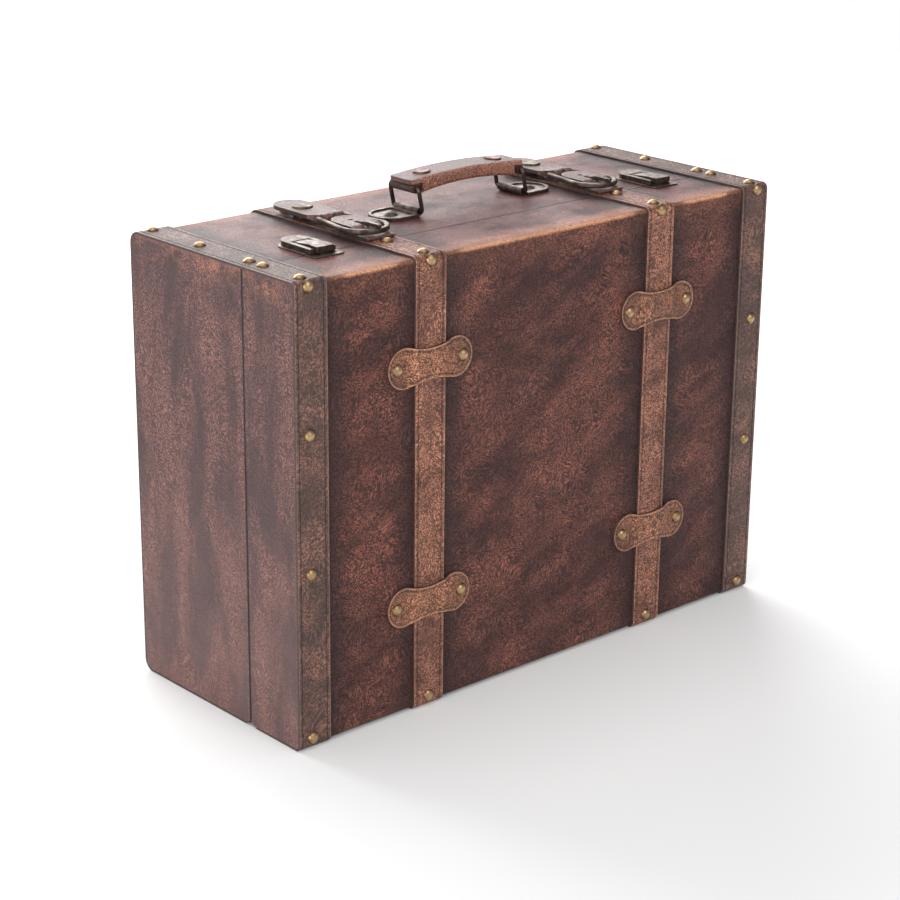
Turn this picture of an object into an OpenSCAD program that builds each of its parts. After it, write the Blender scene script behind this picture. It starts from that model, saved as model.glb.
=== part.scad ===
// Wooden travel trunk, upright on its hinge side: a base and a lid of boards
// under leatherette, leather bands and straps, dome nails, two clasps, two
// buckle straps with magnetic snaps and a leather handle on wire rings.
// The origin is under the middle of the case, +X runs along its length and
// the lid is at -Y.

/* [Case] */
// Length of the case over its covering
body_w = 450; // [380:1:560]
// Depth of the base, from the seam to the back
base_d = 125; // [108:1:170]
// Depth of the lid, from the front to the seam
lid_d = 53; // [44:1:80]
// Height of the case over its covering
body_h = 324; // [270:1:420]
// Thickness of the leatherette covering
cover_t = 0.8; // [0.5:0.1:1.5]
// Thickness of the wall boards
wall_t = 9; // [6:0.5:14]
// Thickness of the front and back panels
panel_t = 4; // [3:0.5:8]
// Thickness of the lining
lining_t = 0.5; // [0.3:0.1:1.2]
// Radius of the lid's long edges
lid_edge_r = 3; // [2.5:0.5:8]
// Radius of the base's long edges
base_edge_r = 7; // [5:0.5:12]
// Gap at the seam of the closed case
seam_gap = 0.4; // [0.2:0.1:1.2]

/* [Bands and straps] */
// Thickness of the band and strap leather
strap_t = 1.6; // [1.5:0.1:2.2]
// Width of the end bands
band_w = 27; // [20:1:36]
// Width of the straps
strap_w = 27; // [20:1:30]
// Distance of each strap's middle from the case's middle
strap_x = 110; // [90:1:130]
// Clear space at the bottom between the leather's ends and the seam
underside_gap = 6; // [5:0.5:12]
// Distance of the embossed line from the leather's edge
line_inset = 2.6; // [2:0.1:4]
// Width of the embossed line
line_w = 0.7; // [0.4:0.1:1]
// Depth of the embossed line
line_depth = 0.3; // [0.2:0.05:0.6]

/* [Keepers] */
// Length of a keeper
keeper_l = 75; // [60:1:90]
// Height of a keeper's lobes
keeper_h = 29; // [24:0.5:34]
// Height of a keeper's waist
keeper_waist = 22; // [16:0.5:23]
// Thickness of the keeper leather
keeper_t = 1.8; // [1.5:0.1:3]
// Length of the slope from the strap down to the case
keeper_slope = 5; // [3:0.5:8]
// Distance of each keeper's nails from its middle
keeper_nail_x = 29.3; // [24:0.1:31]
// Height of the lower keepers' middle above the case's bottom
keeper_low_z = 79; // [50:1:110]
// Height of the upper keepers' middle above the case's bottom
keeper_high_z = 251; // [180:1:260]

/* [Nails] */
// Diameter of a nail's dome
nail_d = 9; // [6:0.5:10]
// Height of a nail's dome
nail_h = 2.6; // [1.5:0.1:4]
// Distance of the band nails from the case's ends
band_nail_in = 11.5; // [8:0.5:14]
// Tilt of the nails that sit on a long rounded edge
edge_nail_tilt = 12; // [5:1:30]
// Height of the lid's lowest nails above the case's bottom
lid_low_nail_z = 6.4; // [5:0.1:12]
// Height of the lower band nails above the case's bottom
band_nail_low_z = 125; // [90:1:130]
// Height of the upper band nails above the case's bottom
band_nail_high_z = 222; // [180:1:230]
// Distance from the seam to the nearest nail on the base's bands
base_seam_nail = 7; // [6:0.5:14]
// Distance from the back to the last nail on the base's bands
base_back_nail = 9; // [7:0.5:12]
// Distance from the seam to the nearest nail on the lid's bands
lid_seam_nail = 7.5; // [6:0.5:12]
// Place of the nail on each base strap, as a share of the way from the snap's
// magnet to the back edge's round
strap_nail_share = 0.45; // [0.4:0.05:0.6]

/* [Hinges] */
// Length of a hinge
hinge_l = 44; // [36:1:60]
// Length of a hinge's middle knuckle
hinge_mid_l = 15; // [10:0.5:20]
// Width of a hinge leaf
hinge_leaf_w = 17; // [12:0.5:24]
// Thickness of a hinge leaf
hinge_leaf_t = 0.9; // [0.6:0.1:1.2]
// Outer radius of the hinge knuckles
knuckle_r = 2; // [1.6:0.1:2.1]
// Height of the hinge axis inside the case's bottom face
hinge_sink = 0.6; // [0.5:0.05:0.7]
// Distance of a leaf's plate from the hinge axis
hinge_leaf_start = 3.3; // [3.2:0.1:4]
// Radius of the hinge pins
hinge_pin_r = 0.9; // [0.6:0.1:1.1]
// Distance of each hinge's middle from the case's middle
hinge_x = 150; // [135:1:170]
// Radius of the rivet heads on a leaf
hinge_rivet_r = 2.2; // [1.5:0.1:3]
// Height of the rivet heads on a leaf
hinge_rivet_h = 0.5; // [0.3:0.1:0.6]

/* [Handle] */
// Distance between the two plate barrels
barrel_span = 100; // [90:1:104]
// Offset of the handle's middle to the right of the case's middle
handle_x = 7; // [-7:0.5:7]
// Distance of the handle's middle behind the seam
handle_back = 47; // [40:1:60]
// Length of a handle plate, from its barrel's middle to its tip
plate_l = 32; // [30:0.5:34]
// Width of a handle plate
plate_w = 31; // [26:0.5:34]
// Height of a handle plate's rim
plate_h = 2.8; // [2:0.1:2.8]
// Width of a handle plate's rim
plate_rim = 2.2; // [1.5:0.1:3]
// Depth of the recess inside the rim
plate_recess = 1.2; // [0.6:0.1:1.8]
// Diameter of the rivets that hold the handle plates
plate_rivet_d = 11; // [8:0.5:13]
// Radius of the ring wire
wire_r = 1.5; // [1:0.1:2]
// Width of a ring between the middles of its legs
ring_w = 31; // [28:0.5:36]
// Height of a ring between the middles of its bars
ring_h = 17.4; // [15:0.1:30]
// Bend radius of a ring's corners
ring_bend_r = 2.5; // [2.2:0.1:4]
// Lean of the handle to the left
handle_lean = 12; // [0:1:30]
// Height of the plate barrels' middle over the case
barrel_z = 3.4; // [3.4:0.1:5]
// Thickness of the grip in its middle
grip_t = 9.4; // [8:0.1:11]
// Edge radius of the grip
grip_edge_r = 3; // [2:0.1:3.8]
// Radius of the grip's arch over the loops
grip_arch_r = 500; // [300:10:800]
// Radius of the grip's arch underneath
grip_under_r = 270; // [200:10:400]
// Thickness of the grip's top leather where it covers the loops
flap_t = 3.2; // [3:0.1:4]
// Distance from a ring's bar to the end of the grip's core
core_back = 6.2; // [6.2:0.1:8]
// Overhang of the grip's top leather past a ring's bar
flap_over = 4; // [3:0.5:7]
// Corner radius of the grip's top leather
flap_corner_r = 5; // [2:0.5:10]
// Thickness of the loop leather
loop_t = 1.9; // [1.2:0.1:2.5]
// Distance of the grip rivets from the grip's middle
grip_rivet_x = 34; // [28:0.5:36]
// Diameter of the grip rivets
grip_rivet_d = 13; // [9:0.5:15]

/* [Clasps] */
// Distance of each clasp's middle from the case's middle
clasp_x = 161; // [150:0.5:178]
// Width of a clasp
clasp_w = 25; // [20:0.5:30]
// Length of the clasp on the base, from the seam to its round end
clasp_base_l = 36; // [32:0.5:46]
// Length of the catch plate on the lid
catch_l = 11.5; // [11:0.5:16]
// Thickness of the clasp plates
clasp_t = 1; // [0.6:0.1:1.5]
// Height of the clasp housing over its plate
housing_h = 3.8; // [2.6:0.1:4.5]
// Inset of the housing from the plate's edge
housing_inset = 1.6; // [1:0.1:3]
// Reach of the housing's arms past the seam, over the catch
arm_reach = 4; // [1:0.1:5]
// Width of the latch's plate
latch_w = 11.4; // [8:0.1:12]
// Width of the latch's nose
nose_w = 14; // [10:0.1:15]
// Distance of the latch pin from the seam
latch_pin_back = 19; // [15:0.5:21]
// Radius of the latch pin
latch_pin_r = 0.8; // [0.5:0.05:1]
// Radius of the latch's knuckle
latch_knuckle_r = 1.7; // [1.4:0.05:2]
// Thickness of the latch's metal
latch_t = 1.2; // [0.8:0.1:1.5]
// Height of the latch's nose over the case
nose_h = 6.4; // [5.8:0.1:9]
// Length of the latch's nose along the case's depth
nose_l = 7.4; // [6:0.1:8]
// Reach of the latch's nose past the seam onto the lid
nose_reach = 7; // [6:0.1:8]

/* [Buckle straps] */
// Distance from the seam to the line where the buckle strap bends up
bend_front = 2.6; // [2:0.1:6]
// Thickness of the buckle strap's leather
tongue_t = 2; // [1.5:0.1:2.4]
// Width of the buckle strap
tongue_w = 25; // [18:0.5:25]
// Distance of the buckle strap's tip behind the seam
tongue_tip = 43.5; // [38:0.5:44]
// Height of the buckle's middle over the case
buckle_z = 7.1; // [7:0.1:9]
// Distance of the buckle's bar behind the seam
buckle_bar_y = 49.5; // [46:0.5:60]
// Outer width of the buckle
buckle_w = 37.4; // [34:0.2:42]
// Length from the buckle's bar to its front end
buckle_l = 51.7; // [48:0.1:54]
// Width of the buckle's metal
buckle_rim = 3.8; // [3:0.1:4.2]
// Angle by which each side of the buckle closes in towards its bar
buckle_taper = 9.5; // [2:0.5:10]
// Height of the buckle's metal
buckle_h = 3.6; // [2.6:0.1:4]
// Edge radius of the buckle's metal
buckle_edge_r = 1.2; // [0.6:0.1:1.4]
// Radius of the buckle's bar
buckle_bar_r = 1.6; // [1.2:0.1:2]
// Radius of the prong
prong_r = 1.2; // [0.8:0.1:1.4]
// Width of the snap tab
tab_w = 26; // [22:0.5:27]
// Width of the snap tab where it folds round the bar
tab_fold_w = 17.6; // [14:0.2:18]
// Thickness of the folded snap tab
tab_t = 2.8; // [2:0.1:3.6]
// Thickness of the tab's leather round the bar
tab_fold_t = 1.7; // [1.2:0.1:2.2]
// Distance of the snap's middle behind the seam
snap_y = 82.5; // [78:0.5:92]
// Distance from the snap's middle to the tab's round end
tab_end = 25; // [18:0.5:26]
// Diameter of the snap's cap
cap_d = 14.8; // [10:0.2:16]
// Height of the snap's cap
cap_h = 1.3; // [0.8:0.1:2]
// Diameter of the snap's magnets
magnet_d = 13; // [9:0.5:14]
// Thickness of the magnet on the base
magnet_t = 1.5; // [1:0.1:2]
// Gap between the two magnets of a closed snap
magnet_gap = 0.3; // [0.2:0.05:0.5]

/* [Hidden] */
// Smoothness of the round faces
$fn = 64;
// Radial clearance of a pin in its knuckle or bore
pin_clear = 0.05;
// Clearance of moving faces that don't bear on each other
free_gap = 0.4;
// Side clearance between neighbouring knuckles
side_gap = 0.2;
// Gap round leather that is sewn into leather
seat_gap = 0.1;
// Overlap of a cut past the face it opens
cut = 1;

case_z = strap_t;
top_z = case_z + body_h;
front_y = -(base_d + lid_d) / 2;
back_y = -front_y;
seam_y = front_y + lid_d;
half_w = body_w / 2;
rim_back = seam_y + seam_gap / 2;
rim_front = seam_y - seam_gap / 2;
handle_y = seam_y + handle_back;
barrel_x = barrel_span / 2;
knuckle_notch_r = knuckle_r + free_gap;
hinge_z = case_z + hinge_sink;

// The clasp's heights, over the case
latch_pin_z = clasp_t + free_gap + latch_knuckle_r;
nub_h = 1;
nub_w = 6;
nub_l = 2.4;
nose_gap = 0.4;
nose_floor = clasp_t + nub_h + nose_gap;

// The barrel and the rings
barrel_r = wire_r + pin_clear + 1.3;
barrel_l = ring_w - 2 * ring_bend_r - 2 * free_gap;
ring_top_x = -ring_h * sin(handle_lean);
ring_top_z = barrel_z + ring_h * cos(handle_lean);
loop_r = wire_r + pin_clear + loop_t;
loop_l = barrel_l;

// The middle of the grip's arch, which lies on the loops at a tangent
grip_cz = ring_top_z - sqrt(pow(grip_arch_r - loop_r, 2) - pow(barrel_x, 2));
grip_top_r = grip_arch_r + flap_t;
grip_under_cz = grip_cz + grip_top_r - grip_t - grip_under_r;
grip_w = ring_w - 2 * wire_r - 2 * free_gap;

// The buckle strap's heights, over the case
bend_r = tongue_t / 2 + 0.1;
bend_z = strap_t + free_gap + bend_r;
tongue_high_z = buckle_z + 1.2;
buckle_low_z = buckle_z - buckle_h / 2;
magnet_top = strap_t + magnet_t;
prong_low_z = buckle_z - buckle_bar_r;
prong_eye_r = buckle_bar_r + 1.4;

// Profiles and solids that several pieces share

// The points of an arc from angle a0 to a1
function arc(middle, r, a0, a1, n) = [
    for (i = [0 : n])
        let (a = a0 + (a1 - a0) * i / n)
        middle + r * [cos(a), sin(a)]
];

// Turns an outline in Y and Z into a bar that runs along X from x0 to x1
module along_x(x0, x1) {
    translate([x0, 0, 0])
        rotate([90, 0, 90])
            linear_extrude(x1 - x0)
                children();
}

// What a fillet of radius r takes off a corner at the origin whose solid is at +,+
module fillet_cut(r) {
    difference() {
        translate([-cut, -cut])
            square(r + cut);
        translate([r, r])
            circle(r);
    }
}

// The closed case's outline in Y and Z, drawn in by a distance or grown by a negative one
module case_outline(inset) {
    lid_r = lid_edge_r - inset;
    base_r = base_edge_r - inset;
    difference() {
        translate([front_y + inset, case_z + inset])
            square([base_d + lid_d - 2 * inset, body_h - 2 * inset]);
        translate([front_y + inset, case_z + inset])
            fillet_cut(lid_r);
        translate([front_y + inset, top_z - inset])
            mirror([0, 1])
                fillet_cut(lid_r);
        translate([back_y - inset, case_z + inset])
            mirror([1, 0])
                fillet_cut(base_r);
        translate([back_y - inset, top_z - inset])
            mirror([1, 0])
                mirror([0, 1])
                    fillet_cut(base_r);
    }
}

// The whole case as a solid, drawn in by a distance on every side
module case_block(inset) {
    along_x(-half_w + inset, half_w - inset)
        case_outline(inset);
}

// Everything behind the seam, or everything in front of it
module base_side() {
    translate([-body_w, rim_back, -body_h])
        cube([2 * body_w, 2 * base_d, 3 * body_h]);
}

module lid_side() {
    translate([-body_w, rim_front - 2 * lid_d, -body_h])
        cube([2 * body_w, 2 * lid_d, 3 * body_h]);
}

// The groove along the seam's bottom that lets the knuckles in and the edges turn
module hinge_groove() {
    along_x(-half_w - cut, half_w + cut)
        translate([seam_y, hinge_z])
            circle(knuckle_notch_r);
}

// The boards of either half fill this block
module board_space() {
    difference() {
        case_block(cover_t);
        hinge_groove();
    }
}

module end_board(side, y0, y1) {
    end_x = half_w - cover_t;
    x0 = side < 0 ? -end_x : end_x - wall_t;
    intersection() {
        board_space();
        translate([x0, y0, 0])
            cube([wall_t, y1 - y0, top_z]);
    }
}

module long_board(upper, y0, y1) {
    span = half_w - cover_t - wall_t;
    z0 = upper ? top_z - cover_t - wall_t : case_z + cover_t;
    intersection() {
        board_space();
        translate([-span, y0, z0])
            cube([2 * span, y1 - y0, wall_t]);
    }
}

module panel(y0) {
    intersection() {
        board_space();
        translate([-half_w, y0, 0])
            cube([body_w, panel_t, top_z]);
    }
}

// The hollow inside the boards of both halves, drawn in by the lining or not
module hollow(inset) {
    x = half_w - cover_t - wall_t - inset;
    y = back_y - cover_t - panel_t - inset;
    z0 = case_z + cover_t + wall_t + inset;
    z1 = top_z - cover_t - wall_t - inset;
    translate([-x, -y, z0])
        cube([2 * x, 2 * y, z1 - z0]);
}

// The boards

panel_back_y = back_y - cover_t - panel_t;
panel_front_y = front_y + cover_t + panel_t;

module base_back_panel() {
    color("burlywood")
        panel(panel_back_y);
}

module base_top_board() {
    color("burlywood")
        long_board(true, rim_back, panel_back_y);
}

module base_bottom_board() {
    color("burlywood")
        long_board(false, rim_back, panel_back_y);
}

module base_left_board() {
    color("burlywood")
        end_board(-1, rim_back, panel_back_y);
}

module base_right_board() {
    color("burlywood")
        end_board(1, rim_back, panel_back_y);
}

module lid_front_panel() {
    color("burlywood")
        panel(front_y + cover_t);
}

module lid_top_board() {
    color("burlywood")
        long_board(true, panel_front_y, rim_front);
}

module lid_bottom_board() {
    color("burlywood")
        long_board(false, panel_front_y, rim_front);
}

module lid_left_board() {
    color("burlywood")
        end_board(-1, panel_front_y, rim_front);
}

module lid_right_board() {
    color("burlywood")
        end_board(1, panel_front_y, rim_front);
}

// The covering and the lining

module cover_shell() {
    difference() {
        case_block(0);
        case_block(cover_t);
        hinge_groove();
    }
}

module base_cover() {
    color([0.30, 0.15, 0.13])
        intersection() {
            cover_shell();
            base_side();
        }
}

module lid_cover() {
    color([0.30, 0.15, 0.13])
        intersection() {
            cover_shell();
            lid_side();
        }
}

module lining_shell() {
    difference() {
        hollow(0);
        hollow(lining_t);
    }
}

module base_lining() {
    color([0.55, 0.45, 0.36])
        intersection() {
            lining_shell();
            base_side();
        }
}

module lid_lining() {
    color([0.55, 0.45, 0.36])
        intersection() {
            lining_shell();
            lid_side();
        }
}

// The bands and straps

// A strip of leather right round the case from x0 to x1, with an embossed
// line along each edge
module leather_ring(x0, x1) {
    difference() {
        along_x(x0, x1)
            case_outline(-strap_t);
        along_x(x0 - cut, x1 + cut)
            case_outline(0);
        for (x = [x0 + line_inset, x1 - line_inset - line_w])
            difference() {
                along_x(x, x + line_w)
                    case_outline(-strap_t - cut);
                along_x(x - cut, x + line_w + cut)
                    case_outline(-strap_t + line_depth);
            }
    }
}

// The space that the leather leaves free round the seam under the case
module underside_space() {
    translate([-body_w, seam_y - underside_gap, -cut])
        cube([2 * body_w, 2 * underside_gap, case_z + 2 * cut]);
}

module base_leather(x0, x1) {
    difference() {
        intersection() {
            leather_ring(x0, x1);
            base_side();
        }
        underside_space();
    }
}

// The lid's leather ends at end_y on the top of the case
module lid_leather(x0, x1, end_y) {
    difference() {
        intersection() {
            leather_ring(x0, x1);
            lid_side();
        }
        underside_space();
        translate([-body_w, end_y, top_z - lid_edge_r])
            cube([2 * body_w, lid_d, 2 * lid_edge_r]);
    }
}

module base_left_band() {
    color([0.38, 0.25, 0.19])
        base_leather(-half_w, -half_w + band_w);
}

module base_right_band() {
    color([0.38, 0.25, 0.19])
        base_leather(half_w - band_w, half_w);
}

module lid_left_band() {
    color([0.38, 0.25, 0.19])
        lid_leather(-half_w, -half_w + band_w, rim_front);
}

module lid_right_band() {
    color([0.38, 0.25, 0.19])
        lid_leather(half_w - band_w, half_w, rim_front);
}

module base_strap(side) {
    color([0.48, 0.31, 0.22])
        base_leather(side * strap_x - strap_w / 2, side * strap_x + strap_w / 2);
}

module base_left_strap() {
    base_strap(-1);
}

module base_right_strap() {
    base_strap(1);
}

module lid_strap(side) {
    color([0.48, 0.31, 0.22])
        lid_leather(side * strap_x - strap_w / 2, side * strap_x + strap_w / 2, rim_front);
}

module lid_left_strap() {
    lid_strap(-1);
}

module lid_right_strap() {
    lid_strap(1);
}

// The keepers, which hold the straps down on the lid's front

keeper_lobe_r = keeper_h / 2;
keeper_lobe_x = keeper_l / 2 - keeper_lobe_r;
// Radius of the waist's hollows, which run into the lobes at a tangent
keeper_hollow_r = (pow(keeper_lobe_x, 2) + pow(keeper_waist / 2, 2) - pow(keeper_lobe_r, 2))
    / (2 * keeper_lobe_r - keeper_waist);
keeper_hollow_y = keeper_waist / 2 + keeper_hollow_r;
// Angle at which a lobe runs into the hollow
keeper_turn = 180 - atan2(keeper_hollow_y, keeper_lobe_x);

module keeper_outline() {
    polygon(concat(
        arc([keeper_lobe_x, 0], keeper_lobe_r, -keeper_turn, keeper_turn, 44),
        arc([0, keeper_hollow_y], keeper_hollow_r, keeper_turn - 180, -keeper_turn, 12),
        arc([-keeper_lobe_x, 0], keeper_lobe_r, 180 - keeper_turn, 180 + keeper_turn, 44),
        arc([0, -keeper_hollow_y], keeper_hollow_r, keeper_turn, 180 - keeper_turn, 12)
    ));
}

// Half of the line that the keeper follows over the strap, in X and outwards
function keeper_path(lift) = [
    [-keeper_l / 2 - cut, lift],
    [-strap_w / 2 - keeper_slope, lift],
    [-strap_w / 2 - 0.3, strap_t + lift],
    [strap_w / 2 + 0.3, strap_t + lift],
    [strap_w / 2 + keeper_slope, lift],
    [keeper_l / 2 + cut, lift]
];

module keeper(side, z) {
    low = keeper_path(0);
    high = keeper_path(keeper_t);
    color([0.52, 0.33, 0.24])
        translate([side * strap_x, front_y, case_z + z])
            intersection() {
                translate([0, 0, -keeper_h])
                    linear_extrude(2 * keeper_h)
                        mirror([0, 1])
                            polygon(concat(low, [for (i = [len(high) - 1 : -1 : 0]) high[i]]));
                rotate([90, 0, 0])
                    linear_extrude(3 * keeper_t + 3 * strap_t)
                        keeper_outline();
            }
}

module keeper_upper_left() {
    keeper(-1, keeper_high_z);
}

module keeper_lower_left() {
    keeper(-1, keeper_low_z);
}

module keeper_upper_right() {
    keeper(1, keeper_high_z);
}

module keeper_lower_right() {
    keeper(1, keeper_low_z);
}

// The dome nails

nail_sphere_r = (pow(nail_d / 2, 2) + pow(nail_h, 2)) / (2 * nail_h);
nail_skirt = 1.5;

// A dome on a short skirt, standing on the origin along +Z
module dome_nail() {
    intersection() {
        translate([0, 0, nail_h - nail_sphere_r])
            sphere(nail_sphere_r);
        cylinder(h = nail_h, r = nail_d / 2);
    }
    translate([0, 0, -nail_skirt])
        cylinder(h = nail_skirt + 0.01, r = nail_d / 2);
}

// A nail on the top at y, or on the lid's or base's rounded edge next to it
module top_nail(x, y) {
    translate([x, y, top_z + strap_t])
        dome_nail();
}

module front_nail(x, z, lift) {
    translate([x, front_y - lift, z])
        rotate([90, 0, 0])
            dome_nail();
}

module back_nail(x, z) {
    translate([x, back_y + strap_t, z])
        rotate([-90, 0, 0])
            dome_nail();
}

// A nail on a long rounded edge: facing is -1 at the lid's front and 1 at the
// base's back, and up is 1 at the top and -1 at the bottom
module edge_nail(x, facing, up) {
    r = facing < 0 ? lid_edge_r : base_edge_r;
    y = facing < 0 ? front_y + r : back_y - r;
    z = up > 0 ? top_z - r : case_z + r;
    translate([x, y, z])
        rotate([facing < 0 ? 90 - up * edge_nail_tilt : -90 + up * edge_nail_tilt, 0, 0])
            translate([0, 0, r + strap_t])
                dome_nail();
}

band_nail_x = half_w - band_nail_in;
front_top_nail_y = front_y + nail_d / 2 + 2.5;
// The nail on top of each lid strap, just before the buckle strap's bend
bend_nail_y = seam_y - bend_front - bend_r - 2 * free_gap - nail_d / 2;
// The nail on top of each base strap, between the magnet and the back edge
magnet_back_y = seam_y + snap_y + magnet_d / 2;
strap_nail_y = magnet_back_y + strap_nail_share * (back_y - base_edge_r - magnet_back_y);
keeper_nails = [for (z = [keeper_low_z, keeper_high_z], x = [-keeper_nail_x, keeper_nail_x]) [x, z]];

module base_nails() {
    first = seam_y + base_seam_nail;
    last = back_y - base_back_nail;
    color([0.65, 0.52, 0.30])
        difference() {
            union() {
                for (side = [-1, 1]) {
                    for (i = [0 : 2])
                        top_nail(side * band_nail_x, first + (last - first) * i / 2);
                    for (z = [band_nail_low_z, band_nail_high_z])
                        back_nail(side * band_nail_x, case_z + z);
                    top_nail(side * strap_x, strap_nail_y);
                    for (x = [band_nail_x, strap_x], up = [-1, 1])
                        edge_nail(side * x, 1, up);
                }
            }
            along_x(-half_w, half_w)
                case_outline(-strap_t);
        }
}

module lid_nails() {
    color([0.65, 0.52, 0.30]) {
        difference() {
            union() {
                for (side = [-1, 1]) {
                    top_nail(side * band_nail_x, seam_y - lid_seam_nail);
                    for (z = [band_nail_low_z, band_nail_high_z])
                        front_nail(side * band_nail_x, case_z + z, strap_t);
                    top_nail(side * strap_x, bend_nail_y);
                    for (x = [band_nail_x, strap_x]) {
                        top_nail(side * x, front_top_nail_y);
                        edge_nail(side * x, -1, 1);
                        front_nail(side * x, case_z + lid_low_nail_z, strap_t);
                    }
                }
            }
            along_x(-half_w, half_w)
                case_outline(-strap_t);
        }
        difference() {
            for (side = [-1, 1], n = keeper_nails)
                front_nail(side * strap_x + n[0], case_z + n[1], keeper_t);
            translate([-half_w, front_y - keeper_t, 0])
                cube([body_w, lid_d, top_z]);
        }
    }
}

// The hinges under the seam

module hinge_bar(x0, x1, r) {
    along_x(x0, x1)
        translate([seam_y, hinge_z])
            circle(r);
}

// One leaf: facing is 1 for the base's leaf and -1 for the lid's, and spans
// are its knuckles' ends along X
module hinge_leaf(x, facing, spans) {
    plate_d = hinge_leaf_w - hinge_leaf_start;
    color([0.36, 0.31, 0.25])
        difference() {
            union() {
                for (s = spans) {
                    hinge_bar(x + s[0], x + s[1], knuckle_r);
                    translate([x + s[0], seam_y + (facing > 0 ? 0 : -hinge_leaf_start), case_z - hinge_leaf_t])
                        cube([s[1] - s[0], hinge_leaf_start, hinge_leaf_t]);
                }
                translate([x - hinge_l / 2, seam_y + (facing > 0 ? hinge_leaf_start : -hinge_leaf_w),
                           case_z - hinge_leaf_t])
                    cube([hinge_l, plate_d, hinge_leaf_t]);
                for (i = [-1 : 1])
                    translate([x + i * hinge_l / 3, seam_y + facing * (hinge_leaf_start + plate_d / 2),
                               case_z - hinge_leaf_t - hinge_rivet_h])
                        cylinder(h = hinge_rivet_h + hinge_leaf_t / 2, r = hinge_rivet_r);
            }
            hinge_bar(x - hinge_l, x + hinge_l, hinge_pin_r + pin_clear);
        }
}

outer_knuckles = [[-hinge_l / 2, -hinge_mid_l / 2 - side_gap], [hinge_mid_l / 2 + side_gap, hinge_l / 2]];
middle_knuckle = [[-hinge_mid_l / 2, hinge_mid_l / 2]];

module left_hinge_base_leaf() {
    hinge_leaf(-hinge_x, 1, outer_knuckles);
}

module right_hinge_base_leaf() {
    hinge_leaf(hinge_x, 1, outer_knuckles);
}

module left_hinge_lid_leaf() {
    hinge_leaf(-hinge_x, -1, middle_knuckle);
}

module right_hinge_lid_leaf() {
    hinge_leaf(hinge_x, -1, middle_knuckle);
}

module hinge_pins() {
    color([0.42, 0.38, 0.32])
        for (side = [-1, 1])
            hinge_bar(side * hinge_x - hinge_l / 2, side * hinge_x + hinge_l / 2, hinge_pin_r);
}

// The clasps, drawn at the middle of the seam and on the case's top

module at_clasp(side) {
    translate([side * clasp_x, seam_y, top_z])
        children();
}

// An outline that is square at y0 and ends in a half round at y1
module round_ended(w, y0, y1) {
    translate([-w / 2, y0])
        square([w, y1 - y0 - w / 2 + 0.01]);
    translate([0, y1 - w / 2])
        circle(w / 2);
}

module latch_pin_bar(half_l, r) {
    along_x(-half_l, half_l)
        translate([latch_pin_back, latch_pin_z])
            circle(r);
}

module clasp_body(side) {
    housing_w = clasp_w - 2 * housing_inset;
    slot_w = nose_w + 2 * free_gap;
    slot_end = latch_pin_back + latch_knuckle_r + free_gap;
    color([0.40, 0.35, 0.28])
        at_clasp(side)
            difference() {
                union() {
                    linear_extrude(clasp_t)
                        round_ended(clasp_w, seam_gap / 2 + 0.1, clasp_base_l);
                    linear_extrude(clasp_t + housing_h)
                        round_ended(housing_w, -arm_reach, clasp_base_l - housing_inset);
                }
                translate([-clasp_w, -2 * arm_reach - cut, -cut])
                    cube([2 * clasp_w, 2 * arm_reach + cut + seam_gap / 2 + 0.1, clasp_t + free_gap + cut]);
                translate([-slot_w / 2, -arm_reach - cut, clasp_t])
                    cube([slot_w, slot_end + arm_reach + cut, housing_h + cut]);
                latch_pin_bar(clasp_w, latch_pin_r + pin_clear);
            }
}

module left_clasp_body() {
    clasp_body(-1);
}

module right_clasp_body() {
    clasp_body(1);
}

module clasp_pins() {
    color([0.42, 0.38, 0.32])
        for (side = [-1, 1])
            at_clasp(side)
                latch_pin_bar(clasp_w / 2 - housing_inset, latch_pin_r);
}

module catch_plate(side) {
    corner_r = 1.5;
    color([0.40, 0.35, 0.28])
        at_clasp(side) {
            linear_extrude(clasp_t)
                difference() {
                    translate([-clasp_w / 2, -catch_l])
                        square([clasp_w, catch_l - seam_gap / 2 - 0.1]);
                    translate([-clasp_w / 2, -catch_l])
                        fillet_cut(corner_r);
                    translate([clasp_w / 2, -catch_l])
                        mirror([1, 0])
                            fillet_cut(corner_r);
                }
            translate([-nub_w / 2, -nose_reach + latch_t + 0.6, 0])
                cube([nub_w, nub_l, clasp_t + nub_h]);
        }
}

module left_catch_plate() {
    catch_plate(-1);
}

module right_catch_plate() {
    catch_plate(1);
}

// The latch's side view in Y and Z: a plate that climbs from its knuckle to a
// nose that covers the catch
module latch_side_view() {
    knee_y = -nose_reach + nose_l;
    plate_end = latch_pin_back + latch_knuckle_r / 3;
    plate_top = latch_pin_z + latch_knuckle_r * 0.9;
    translate([latch_pin_back, latch_pin_z])
        circle(latch_knuckle_r);
    polygon([
        [plate_end, plate_top],
        [plate_end, plate_top - latch_t],
        [knee_y, nose_h - latch_t],
        [knee_y, nose_floor],
        [-nose_reach, nose_floor],
        [-nose_reach, nose_h],
        [knee_y, nose_h]
    ]);
}

module latch(side) {
    nose_in_w = nose_w - 2 * latch_t;
    color([0.44, 0.39, 0.31])
        at_clasp(side)
            difference() {
                union() {
                    along_x(-latch_w / 2, latch_w / 2)
                        latch_side_view();
                    translate([-nose_w / 2, -nose_reach, nose_floor])
                        cube([nose_w, nose_l, nose_h - nose_floor]);
                }
                translate([-nose_in_w / 2, -nose_reach + latch_t, -cut])
                    cube([nose_in_w, nose_l - latch_t + cut, nose_h - latch_t + cut]);
                latch_pin_bar(latch_w, latch_pin_r + pin_clear);
            }
}

module left_latch() {
    latch(-1);
}

module right_latch() {
    latch(1);
}

// The handle's plates and rings, drawn with the middle of the right barrel
// over the origin and mirrored for the left

module at_barrel(side) {
    translate([handle_x + side * barrel_x, handle_y, top_z])
        mirror([side < 0 ? 1 : 0, 0, 0])
            children();
}

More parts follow.
